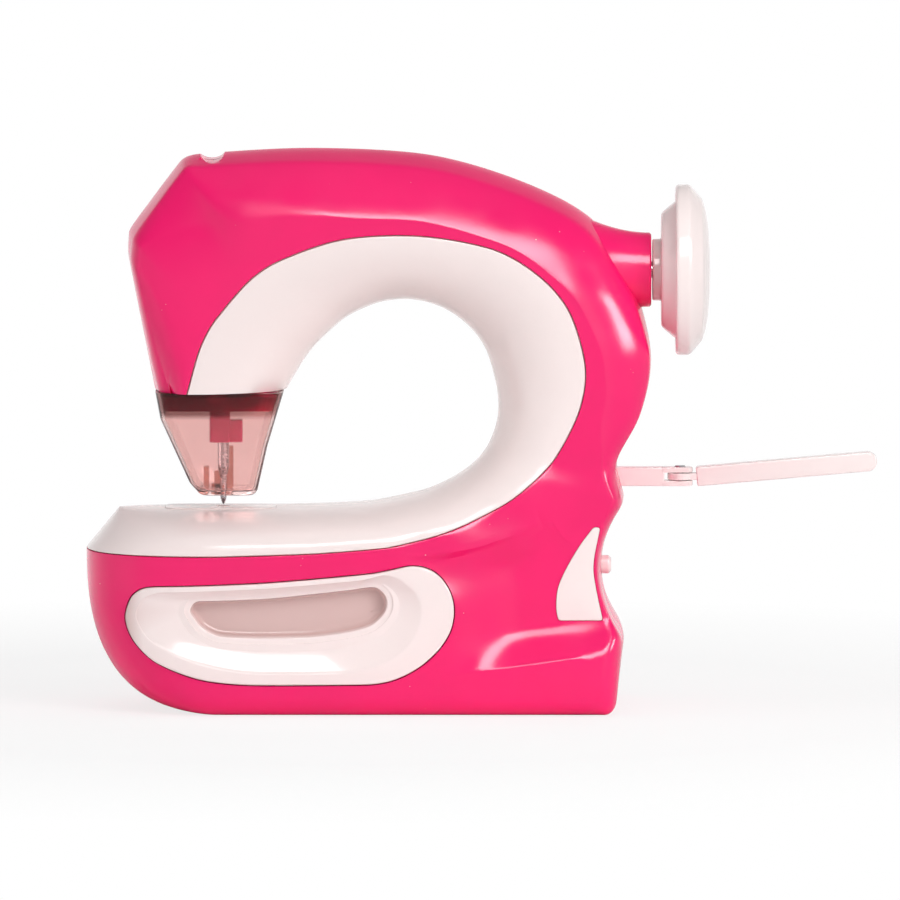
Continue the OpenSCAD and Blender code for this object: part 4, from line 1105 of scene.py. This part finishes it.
def fin_curve(waist_x: float) -> Array:
    """Outline of the fin beside the waist, anticlockwise, as (x, z), with its corners eased.

    Args:
        waist_x: The waist's place.

    Returns:
        The outline's points, evenly spaced.
    """
    sides = [rail(p, np.linspace(0, len(p) - 1, 40)) for p in (FIN_LEFT, FIN_RIGHT)]
    ring = np.concatenate(sides)[::-1] + (waist_x, 0)
    run = np.concatenate([ring, ring[:1]])
    far = np.concatenate([[0], np.cumsum(np.linalg.norm(np.diff(run, axis=0), axis=1))])
    at = np.linspace(0, far[-1], 240, endpoint=False)
    even = np.stack([np.interp(at, far, run[:, k]) for k in (0, 1)], 1)
    for _ in range(6):
        even = 0.25 * np.roll(even, 1, 0) + 0.5 * even + 0.25 * np.roll(even, -1, 0)
    return even


def plate_outline(by: float) -> Array:
    """Outline of the needle plate in the bed, grown by a margin, as (x, y)."""
    return rounded_box(NEEDLE_X - 21.1 - by, -10.1 - by, NEEDLE_X + 19.1 + by, 10.1 + by, 5.1 + by)


def collar_profile(by: float) -> Array:
    """The neck collar's flare as (radius, x): it narrows towards the wheel by a square."""
    t = np.linspace(0, 1, 24)
    return np.stack([13.5 + 5.2 * (1 - t) ** 2 + by, COLUMN_X - 22.8 * (1 - t)], 1)


@dataclass
class Casing:
    """The housing's four mouldings with their openings, the two fins and the screws behind."""

    form: Housing
    fin_t: float = 1.4
    fin_sink: float = 0.8
    move_gap: float = 0.4
    button_hole: float = 3.7
    notch_r: float = 4.9
    notch_wall: float = 1.25

    @property
    def fin_floor(self) -> float:
        """Depth of the fins' pockets from the split plane."""
        return self.form.cove_half - self.fin_sink

    def drawer_cutter(self) -> Solid:
        """Opening of the drawer, flared a little at the skin.

        Returns:
            The solid.
        """
        edge, lay = grow(drawer_curve(DRAWER_EDGE), -self.move_gap), self.form.at_depth
        wide = grow(edge, -0.5)
        back = 4.2 - self.form.front_half(np.array(DRAWER_X - 119.0))
        rings = [lay(wide, -6), lay(wide, -0.05), lay(edge, 0.45), standing(edge, Axis.Y, back)]
        return loft(np.stack(rings))

    def fin_cutter(self) -> Solid:
        """Pocket of the front fin."""
        outline = grow(fin_curve(self.form.waist_x), 0.2)
        return prism(outline, Axis.Y, -self.fin_floor - 12, -self.fin_floor)

    def end_cutters(self) -> list[Solid]:
        """Collar, button and top notch, which both shells share.

        Returns:
            One solid for each.
        """
        flare, far = collar_profile(0.2), 112
        (wide, start), (narrow, _) = flare[0], flare[-1]
        collar = np.concatenate([[(0, start - 1), (wide, start - 1)], flare, [(narrow, far), (0, far)]])
        return [
            revolve(collar, Axis.X, (0, SHAFT_Z)),
            rod(Axis.X, self.form.waist_x - 12, self.form.waist_x + 6, self.button_hole, (0, BUTTON_Z)),
            rod(Axis.Y, -40, 40, self.notch_r, NOTCH),
        ]

    def notch_liner(self) -> Solid:
        """Trough under the thread notch in the top: an arc of wall, carried across.

        Returns:
            The solid.
        """
        turn = np.radians(np.linspace(216, 324, 40))
        arc, r = np.stack([np.cos(turn), np.sin(turn)], 1), self.notch_r + 0.05
        wall = np.concatenate([arc * (r + self.notch_wall), arc[::-1] * r])
        return slab(wall + NOTCH, Axis.Y, -8.0, 8.0, 0.2)

    def screw_cutters(self) -> list[Solid]:
        """Screw wells in the rear shell, chamfered at the skin."""
        profile = [(0, -8), (2.95, -8), (2.95, -0.4), (3.5, 0.2), (3.5, 4), (0, 4)]
        return [revolve(np.array(profile) + (0, y), Axis.Y, (x, z), 40) for x, z, y in SCREWS]

    def bed_cutters(self) -> list[Solid]:
        """Pocket of the needle plate and the needle's hole.

        Returns:
            One solid for each.
        """
        low = self.form.bed_z - 1.4
        hole = rod(Axis.Z, low - 5, low + 1, 3.4, (NEEDLE_X, 0), 0.01)
        return [prism(plate_outline(0.1), Axis.Z, low, low + 10), hole]

    def build(self) -> None:
        """Makes the shells, panels, fins and screws."""
        shell, panel = self.form.half_shell(), self.form.half_panel()
        back = replace(self.form, head_turn=0.0).half_shell().mirrored()
        slot = rounded_box(BRACKET_Y - 3.6, BRACKET_Z - 3.6, BRACKET_Y + 3.6, BRACKET_Z + 3.6, 0.6)
        root = prism(slot, Axis.X, COLUMN_X - 26, COLUMN_X)
        front = [self.drawer_cutter(), self.fin_cutter(), *self.end_cutters()]
        rear = [self.fin_cutter().mirrored(), *self.end_cutters(), root, *self.screw_cutters()]
        piece("front_shell_skin", shell, Finish.MAGENTA, Body.HOUSING, ["front_shell"], front)
        piece("rear_shell_skin", back, Finish.MAGENTA, Body.HOUSING, ["rear_shell"], rear)
        bed = self.bed_cutters()
        piece("front_panel_skin", panel, Finish.PALE, Body.HOUSING, ["front_throat_panel"], bed)
        piece("rear_panel_skin", panel.mirrored(), Finish.PALE, Body.HOUSING, ["rear_throat_panel"], bed)
        floor = -self.fin_floor
        fin = slab(fin_curve(self.form.waist_x), Axis.Y, floor - self.fin_t, floor - 0.1, 0.4)
        piece("front_fin_skin", fin, Finish.PALE, Body.HOUSING, ["front_fin"])
        piece("rear_fin_skin", fin.mirrored(), Finish.PALE, Body.HOUSING, ["rear_fin"])
        piece("notch_trough", self.notch_liner(), Finish.MAGENTA, Body.HOUSING, [])
        self.screws()

    def screws(self) -> None:
        """Makes the screws in their wells, each with a cross recess."""
        corners = [(0, -7.5), (1.4, -7.5), (1.4, -2.6), (2.85, -2.4), (2.85, -1.1), (0, -0.5)]
        profile = softened(corners, 0.15, 2)
        heads = [revolve(profile + (0, y), Axis.Y, (x, z), 40) for x, z, y in SCREWS]
        crosses = [
            prism(rounded_box(x - w, z - h, x + w, z + h, 0.15, 3), Axis.Y, y - 1.6, y + 1)
            for x, z, y in SCREWS
            for w, h in ((1.5, 0.35), (0.35, 1.5))
        ]
        solid = sum(heads[1:], heads[0])
        piece("case_screw_heads", solid, Finish.STEEL, Body.HOUSING, ["case_screws"], crosses)


@dataclass
class Drawer:
    """Drawer with a dished front, a finger slot and a rounded tray."""

    form: Housing
    thick: float = 3.6
    dish_depth: float = 4.0
    slot_depth: float = 9.9
    edge_round: float = 0.8

    def front(self) -> Solid:
        """Front of the drawer: rings from the pocket behind, round the edge, over the dish into the slot.

        The edge and the slot's lips are quarter circles, and the dish falls as a sine.

        Returns:
            The solid.
        """
        edge, dish, slot = (drawer_curve(p) for p in (DRAWER_EDGE, DRAWER_DISH, DRAWER_SLOT))
        pocket, lay, r = grow(slot, -2.4), self.form.at_depth, self.edge_round
        floor, brim, corner = self.slot_depth - self.form.base_half, 0.35, 1.6
        centre = slot.mean(0)
        middle = np.stack([slot[:, 0] * 0.85 + 0.15 * centre[0], np.full(len(slot), centre[1])], 1)
        turn = np.linspace(0, np.pi / 2, 7)
        rings = [standing(pocket, Axis.Y, floor + 0.3), lay(pocket, self.thick)]
        rings += [lay(edge, self.thick), lay(edge, r + 0.2)]
        rings += [lay(grow(edge, r * (1 - np.cos(a))), r * (1 - np.sin(a))) for a in turn]
        rings += [lay(mix(grow(edge, r), dish, t), 0.0) for t in (0.3, 0.6, 0.8)]
        rings += [lay(mix(edge, dish, t), back) for t, back in ((0.9, 0.03), (0.96, 0.12), (1, brim))]
        bowl = np.linspace(0.06, 0.92, 12)
        rings += [lay(mix(dish, slot, t), brim + self.dish_depth * np.sin(t * np.pi / 2)) for t in bowl]
        deep = brim + self.dish_depth
        rings += [lay(grow(slot, 0.5 * np.sin(a) - 0.7), deep + 0.7 * (1 - np.cos(a))) for a in turn]
        for a in turn:
            ring = grow(slot, 0.4 + corner * (1 - np.cos(a)))
            rings.append(standing(ring, Axis.Y, floor - corner * (1 - np.sin(a))))
        rings += [standing(mix(grow(slot, 2), middle, t), Axis.Y, floor) for t in (0.25, 0.5, 0.75, 1)]
        return loft(np.stack(rings))

    def tray(self) -> Solid:
        """Open tray with rounded corners: rings up the outside, over the rim and down the inside.

        Returns:
            The solid.
        """
        lo, hi = (np.array(v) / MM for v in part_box("drawer_tray"))
        wall, r = 1.6, 3.0
        steps = (
            (1.2, 0), (0.35, 0.35), (0, 1.2), (0, -0.4), (0.4, -0.01), (wall - 0.4, -0.01), (wall, -0.4),
            (wall, wall + 1.2), (wall + 0.35, wall + 0.35), (wall + 1.2, wall),
        )
        rings = []
        for by, up in steps:
            z = lo[2] + up if up >= 0 else hi[2] + up
            outline = rounded_box(lo[0] + by, lo[1] + by, hi[0] - by, hi[1] - by, max(r - by, 0.6))
            rings.append(standing(outline, Axis.Z, z))
        return loft(np.stack(rings))

    def build(self) -> None:
        """Makes the front and the tray."""
        piece("drawer_face", self.front(), Finish.SHADED_POCKET, Body.DRAWER, ["drawer_front"])
        piece("drawer_box", self.tray(), Finish.PALE, Body.DRAWER, ["drawer_tray"])


@dataclass
class NeedleHead:
    """Clear guard, needle with its clamp, and the plate in the bed."""

    low: float = 77.6
    top: float = 115.8
    wall: float = 1.6
    half_low: float = 12.5
    half_top: float = 25.0
    clamp_low: float = 96.4
    clamp_top: float = 113.4
    hole: float = 4.5
    shank: float = 2.1
    needle_r: float = 1.2
    tip: float = 73.5

    def guard_ring(self, z: float, by: float) -> Array:
        """Ring of the guard at a height: a rounded box that leans out to the head, drawn in by a margin.

        Args:
            z: Height.
            by: Margin.

        Returns:
            The ring's points.
        """
        t = (z - self.low) / (self.top - self.low)
        left = np.interp(t, (0, 0.12, 0.74, 1), (0, 0.245, 0.89, 1))
        right = np.interp(t, (0, 0.05, 0.48, 1), (0, 0.12, 0.46, 1))
        x0, x1 = mix(NEEDLE_X - 8.2, -72.7, left) + by, mix(NEEDLE_X + 11.2, -26.2, right) - by
        half, r = mix(self.half_low, self.half_top, t) - by, mix(4, 7, t) - by / 2
        return standing(rounded_box(x0, -half, x1, half, r, 14), Axis.Z, z)

    def guard(self) -> Solid:
        """Guard as one wall: down the outside, under the floor to the needle's hole, and up the inside.

        Returns:
            The solid.
        """
        heights, r, floor = np.linspace(self.top, self.low + 1, 40), 1.0, self.low + self.wall
        turn = np.linspace(0.3, np.pi / 2, 5)
        rings = [self.guard_ring(z, 0) for z in heights]
        rings += [self.guard_ring(self.low + r * (1 - np.sin(a)), r * (1 - np.cos(a))) for a in turn]
        around = rings[-1][:, :2] - (NEEDLE_X, 0)
        hole = unit(around) * self.hole + (NEEDLE_X, 0)
        rings += [standing(hole, Axis.Z, z) for z in (self.low, floor)]
        rings += [self.guard_ring(floor, self.wall + 1.2), self.guard_ring(floor + 0.5, self.wall + 0.2)]
        rings += [self.guard_ring(z, self.wall) for z in np.linspace(floor + 1.4, self.top, 40)]
        return loft(np.stack(rings), closed=True)

    def ribs(self) -> Solid:
        """Ribs that stand on the guard's floor beside and behind the needle.

        Returns:
            The solid.
        """
        back, low = self.hole - 0.2, self.low + 0.8
        boxes = (
            (-7.2, -5.2, -3, 3, 10), (-3.4, -0.8, back, back + 1.6, 7.8),
            (-4.4, 0.4, back, back + 1.8, 3.2), (0.2, 3.6, back, back + 2, 17),
        )
        parts = [
            slab(rounded_box(NEEDLE_X + x0, y0, NEEDLE_X + x1, y1, 0.4, 4), Axis.Z, low, self.low + h, 0.3)
            for x0, x1, y0, y1, h in boxes
        ]
        return sum(parts[1:], parts[0])

    def clamp(self) -> Solid:
        """Clamp block on the needle bar with the smaller block at its side.

        Returns:
            The solid.
        """
        block = rounded_box(NEEDLE_X - 5, -4.5, NEEDLE_X + 2.5, 4.5, 1)
        side = rounded_box(NEEDLE_X + 1.8, -3.5, NEEDLE_X + 7, 3.5, 0.8)
        low = self.clamp_low
        return slab(block, Axis.Z, low, self.clamp_top, 0.5) + slab(side, Axis.Z, low, low + 8.2, 0.5)

    def needle(self) -> Solid:
        """Needle with a tapered point, a thin blade and a thicker shank.

        Returns:
            The solid.
        """
        tip, r, shank, clamp = self.tip, self.needle_r, self.shank, self.clamp_low
        corners = [
            (0, tip), (0.3, tip + 0.1), (1.05, tip + 2), (r, tip + 3), (r, clamp - 13), (shank, clamp - 9),
            (shank, clamp + 7.6), (0, clamp + 7.6),
        ]
        return revolve(softened(corners, 0.3, 2), Axis.Z, (NEEDLE_X, 0), 32)

    def build(self) -> None:
        """Makes the guard, the clamp with its screw, the needle and its plate."""
        piece("guard_cup", self.guard(), Finish.SMOKE, Body.HOUSING, ["needle_guard"])
        piece("guard_ribs", self.ribs(), Finish.RIB, Body.HOUSING, [])
        piece("clamp_block", self.clamp(), Finish.CLAMP, Body.NEEDLE, ["needle_clamp"])
        y, z = 4.5, self.clamp_low + 4
        corners = [
            (0, 2.4), (1.2, 2.4), (1.2, y + 0.2), (2.2, y + 0.2), (2.2, y + 2), (1.7, y + 2.4), (0, y + 2.4),
        ]
        screw = revolve(softened(corners, 0.12, 2), Axis.Y, (NEEDLE_X, z), 40)
        bar = rounded_box(NEEDLE_X - 3, z - 0.3, NEEDLE_X + 3, z + 0.3, 0.1, 3)
        slot = prism(bar, Axis.Y, y + 1.5, y + 4)
        piece("clamp_thumbscrew", screw, Finish.STEEL, Body.NEEDLE, ["clamp_screw"], [slot])
        outline = rounded_box(NEEDLE_X - 0.35, self.tip + 5.2, NEEDLE_X + 0.35, self.tip + 7.4, 0.34, 6)
        eye = prism(outline, Axis.Y, -4, 4)
        piece("needle_blade", self.needle(), Finish.STEEL, Body.NEEDLE, ["needle"], [eye])
        corners = [(0, 70), (2.6, 70), (2.6, 72.6), (3, 73.2), (3, 75), (0, 75)]
        hole = revolve(np.array(corners), Axis.Z, (NEEDLE_X, 0), 40)
        plate = slab(plate_outline(0), Axis.Z, 71.4, 72.8, 0.25)
        piece("bed_plate", plate, Finish.PALE, Body.HOUSING, ["needle_plate"], [hole])


@dataclass
class WheelEnd:
    """Dished handwheel with a finger dimple, and the collar that it turns in."""

    x0: float = 107.7
    r: float = 31.0
    thick: float = 21.0

    def wheel(self) -> Solid:
        """Wheel turned from its hub over the cone and the rim to the domed face.

        Returns:
            The solid.
        """
        r, t = self.r, self.thick
        corners = [
            (0, 0), (11.2, 0), (11.2, 3.2), (r - 10.6, 3.2), (r - 9.8, 3.9), (r - 6, 8.4), (r - 5.6, 9.4),
            (r - 1.2, 8.3), (r - 0.2, 8.8), (r, 9.8), (r, t - 7.6), (r - 0.7, t - 6.8), (r - 5.4, t - 2.8),
            (r - 9.5, t - 1.6), (r - 15, t - 0.7), (r - 22, t - 0.2), (0, t),
        ]
        return revolve(softened(corners, 0.4, 3) + (0, self.x0), Axis.X, (0, SHAFT_Z), 144)

    def build(self) -> None:
        """Makes the wheel and the collar."""
        turn = np.linspace(0, np.pi, 33)
        ball = np.stack([8 * np.sin(turn), self.x0 + self.thick + 5.5 - 8 * np.cos(turn)], 1)
        dimple = revolve(ball, Axis.X, (0, SHAFT_Z + self.r * 0.28), 64)
        piece("wheel_disc", self.wheel(), Finish.PALE, Body.DRIVE, ["handwheel"], [dimple])
        flare = collar_profile(0)
        end = [(12.9, COLUMN_X), (6, COLUMN_X), (6, COLUMN_X - 9), (10.5, COLUMN_X - 9)]
        ring = np.concatenate([flare[:-1], [(13.5, COLUMN_X - 0.6)], end, [(10.5, flare[0, 1])]])
        collar = revolve(ring, Axis.X, (0, SHAFT_Z), closed=True)
        piece("collar_ring", collar, Finish.MAGENTA, Body.HOUSING, ["neck_collar"])


@dataclass
class HeelFittings:
    """Push button in the waist and the spool arm on its hinge."""

    arm_l: float = 72.0
    arm_half: float = 3.5
    slope: float = 5.0
    knuckle: float = 4.6
    tine: float = 1.9
    button_r: float = 3.3

    def bracket(self) -> Solid:
        """Bracket: a square root and two tines round the arm's tongue.

        Returns:
            The solid.
        """
        low, high = BRACKET_Z - BRACKET_HALF, BRACKET_Z + BRACKET_HALF
        near, far = BRACKET_Y - BRACKET_HALF, BRACKET_Y + BRACKET_HALF
        root = slab(rounded_box(COLUMN_X - 19, near, PIN_X - 5.7, far, 0.5), Axis.Z, low, high, 0.5)
        arc = np.radians(np.linspace(-48, 48, 24))
        nose = np.stack([PIN_X + self.knuckle * np.cos(arc), BRACKET_Y + self.knuckle * np.sin(arc)], 1)
        tine = np.concatenate([nose, [(PIN_X - 6.5, far), (PIN_X - 6.5, near)]])
        lower = slab(tine, Axis.Z, low, low + self.tine, 0.3)
        return root + lower + slab(tine, Axis.Z, high - self.tine, high, 0.3)

    def arm(self) -> Solid:
        """Arm: a tongue with a round knuckle, and a bar that slopes up to a round end.

        Returns:
            The solid.
        """
        tongue = BRACKET_HALF - self.tine - 0.3
        low, high = BRACKET_Z - tongue, BRACKET_Z + tongue
        knuckle = rod(Axis.Z, low, high, self.knuckle, (PIN_X, BRACKET_Y), 0.25)
        neck = rounded_box(PIN_X, BRACKET_Y - 3, PIN_X + 10, BRACKET_Y + 3, 0.6)
        h, far = self.arm_half, self.arm_l - 6
        arc = np.radians(np.linspace(-90, 90, 24))
        nose = np.stack([far - h + h * np.cos(arc), h * np.sin(arc)], 1)
        heel = np.radians(np.linspace(90, 270, 12))
        r, up = 0.8, np.sin(heel)
        tail = np.stack([r + r * np.cos(heel), (h - r) * np.sign(up) + r * up], 1)
        c, s = math.cos(math.radians(self.slope)), math.sin(math.radians(self.slope))
        side = np.concatenate([nose, tail]) @ np.array([[c, s], [-s, c]]) + (PIN_X + 6, BRACKET_Z)
        bar = slab(side, Axis.Y, BRACKET_Y - h, BRACKET_Y + h, 0.6)
        return knuckle + slab(neck, Axis.Z, low, high, 0.25) + bar

    def build(self) -> None:
        """Makes the button, the bracket, its pin and the arm."""
        (low, *_), (high, *_) = (np.array(v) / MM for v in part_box("power_button"))
        r, flange = self.button_r, self.button_r + 1.2
        corners = [
            (0, low), (r, low), (r, low + 0.3), (flange, low + 0.3), (flange, low + 2), (r, low + 2),
            (r, high - 0.9), (r - 0.9, high), (0, high),
        ]
        button = revolve(softened(corners, 0.15, 2), Axis.X, (0, BUTTON_Z), 56)
        piece("button_cap", button, Finish.PALE, Body.BUTTON, ["power_button"])
        piece("spool_bracket", self.bracket(), Finish.PALE, Body.HOUSING, ["arm_bracket"])
        piece("spool_bar", self.arm(), Finish.PALE, Body.SPOOL, ["spool_arm"])
        top = BRACKET_Z + BRACKET_HALF + 0.5
        pin = rod(Axis.Z, BRACKET_Z - BRACKET_HALF, top, 2.0, (PIN_X, BRACKET_Y), 0.3)
        piece("hinge_pin", pin, Finish.STEEL, Body.HOUSING, ["arm_pin"])


@dataclass
class Works:
    """Frame nodes that keep their shape and get a finish: the drive train inside and the base below."""

    def dress(self) -> None:
        """Gives each node the finish of its stuff."""
        stuff = {
            Finish.MAGENTA: ("base_plate", "battery_door", "head_plate", "drawer_rails"),
            Finish.STEEL: (
                "mech_frame", "frame_screws", "looper_bracket", "main_shaft", "crank_disc", "needle_bar",
                "lower_shaft", "looper", "motor", "door_screw", "battery_contacts",
            ),
            Finish.BRASS: ("main_bushes", "lower_bushes", "motor_pinion"),
            Finish.NYLON: (
                "battery_box", "motor_mount", "main_gear", "upper_pulley", "lower_pulley", "needle_yoke",
            ),
            Finish.RUBBER: ("drive_belt", "switch"),
            Finish.CELL: ("batteries",),
        }
        for finish, names in stuff.items():
            for name in names:
                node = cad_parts[name]
                node.data.materials.clear()
                node.data.materials.append(finish.material())
                finish.slot
                LOG.info("%s keeps its shape in %s", name, finish.slot)


class Shows(Enum):
    """What a lamp lights: the gloss alone, or all but the gloss."""

    GLOSS = "gloss"
    MATT = "matt"


@dataclass(frozen=True)
class Softbox:
    """Rectangular lamp aimed at a point."""

    name: str
    at: Triple
    aim: Triple
    size: tuple[float, float]
    watts: float
    shows: Shows

    def light(self) -> None:
        """Puts the lamp in the scene."""
        lamp = bpy.data.lights.new(self.name, "AREA")
        lamp.shape, lamp.energy = "RECTANGLE", self.watts
        lamp.size, lamp.size_y = self.size
        obj = bpy.data.objects.new(self.name, lamp)
        obj.visible_diffuse = self.shows is Shows.MATT
        obj.visible_glossy = self.shows is Shows.GLOSS
        point_at(obj, self.at, np.array(self.aim) - np.array(self.at))


def point_at(obj: bpy.types.Object, at: Sequence[float], way: Array) -> None:
    """Puts a lamp or camera at a place, looking along a direction, with its top up.

    Args:
        obj: The lamp or camera.
        at: Its place in metres.
        way: The direction that it looks along.
    """
    back = -unit(way)
    side = unit(np.cross((0, 0, 1), back))
    up = np.cross(back, side)
    pose = np.eye(4)
    pose[:3, :3] = np.stack([side, up, back], 1)
    pose[:3, 3] = at
    bpy.context.scene.collection.objects.link(obj)
    obj.matrix_world = Matrix(pose.tolist())


@dataclass
class Studio:
    """Pale floor, soft lamps, white surround and the camera of the photograph."""

    distance: float = 8.0
    elevation: float = 5.0
    across: float = 0.3273
    aim: Triple = (0.0342, 0.0, 0.0932)
    sensor: float = 36.0
    fill: float = 0.4
    ceiling: float = 0.3
    floor_r: float = 0.42
    floor_shown: float = 0.22

    def camera(self) -> None:
        """Puts the camera in front of the machine, a little above it."""
        lens = bpy.data.cameras.new("camera")
        lens.sensor_width = self.sensor
        lens.lens = self.sensor * self.distance / self.across
        obj = bpy.data.objects.new("camera", lens)
        e = math.radians(self.elevation)
        back = np.array((0, -math.cos(e), math.sin(e)))
        point_at(obj, np.array(self.aim) + back * self.distance, -back)
        bpy.context.scene.camera = obj

    def surround(self) -> None:
        """White surround for the eye, greyer overhead in reflections, and a gentler fill for the surfaces."""
        g = Graph(bpy.data.worlds.new("surround"), "Background", "Generated")
        rays = g.add("LightPath").outputs
        eye = rays["Is Camera Ray"]
        seen = g.maths("MAXIMUM", g.maths("MAXIMUM", eye, rays["Is Glossy Ray"]), rays["Is Transmission Ray"])
        overhead = g.span(g.along(Axis.Z), 0.12, 0.5, 1, self.ceiling)
        level = g.maths("MULTIPLY", g.span(seen, 0, 1, self.fill, 1), overhead)
        g.feed(Color=(1, 1, 1, 1), Strength=g.maths("MAXIMUM", level, eye))
        bpy.context.scene.world = g.owner

    def floor(self) -> None:
        """White floor that keeps the machine's shadow and fades into the surround."""
        g = Graph(bpy.data.materials.new("white_floor"))
        white = g.blend(g.noise(3, 1), linear((252, 252, 252)), linear((255, 255, 255)))
        far = g.add("VectorMath")
        far.operation = "LENGTH"
        g.put(far.inputs[0], g.place)
        fade = g.span(far.outputs["Value"], 0.5 * self.floor_r, self.floor_r, 1, 0)
        eye = g.span(g.add("LightPath").outputs["Is Camera Ray"], 0, 1, 1, self.floor_shown)
        g.feed(Base_Color=white, Roughness=0.9, Specular_IOR_Level=0.1, Alpha=g.maths("MULTIPLY", fade, eye))
        size = 1.1 * self.floor_r / MM
        flat = np.array([(-size, -size), (size, -size), (size, size), (-size, size)])
        obj = mesh_object("floor", Solid(standing(flat, Axis.Z, -0.05), [[0, 1, 2, 3]]))
        obj.data.materials.append(g.owner)
        obj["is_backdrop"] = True

    def build(self) -> None:
        """Makes the floor, the surround, the lamps and the camera."""
        self.floor()
        self.surround()
        middle = (0.03, 0.0, 0.1)
        for lamp in (
            Softbox("key", (0.5, -0.7, 0.55), middle, (0.45, 0.45), 4.3, Shows.MATT),
            Softbox("top", (0.0, -0.2, 1.4), middle, (1.0, 1.0), 5.0, Shows.MATT),
            Softbox("front", (0.9, -1.35, 0.3), middle, (0.9, 0.9), 4.0, Shows.MATT),
            Softbox("left", (-1.4, -0.4, 0.2), middle, (0.8, 0.8), 5.5, Shows.MATT),
            Softbox("back", (0.2, 1.5, 0.8), middle, (1.2, 0.9), 8.0, Shows.MATT),
            Softbox("side", (0.95, -0.30, 0.45), (0.1, -0.03, 0.145), (0.3, 0.27), 6.0, Shows.GLOSS),
            Softbox("high", (0.26, -0.72, 0.69), (0.05, -0.04, 0.02), (0.68, 0.34), 12.0, Shows.GLOSS),
        ):
            lamp.light()
        self.camera()
        bpy.context.scene.view_settings.view_transform = "Standard"


def main() -> None:
    """Builds each sub-assembly in order."""
    logging.basicConfig(level=logging.INFO, format="%(message)s")
    form = Housing()
    for part in (Casing(form), Drawer(form), NeedleHead(), WheelEnd(), HeelFittings()):
        part.build()
    Works().dress()
    Studio().build()
    boxes = [[list(corner) for corner in box] for box in (CAD_BOX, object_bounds())]


if __name__ == "__main__":
    main()
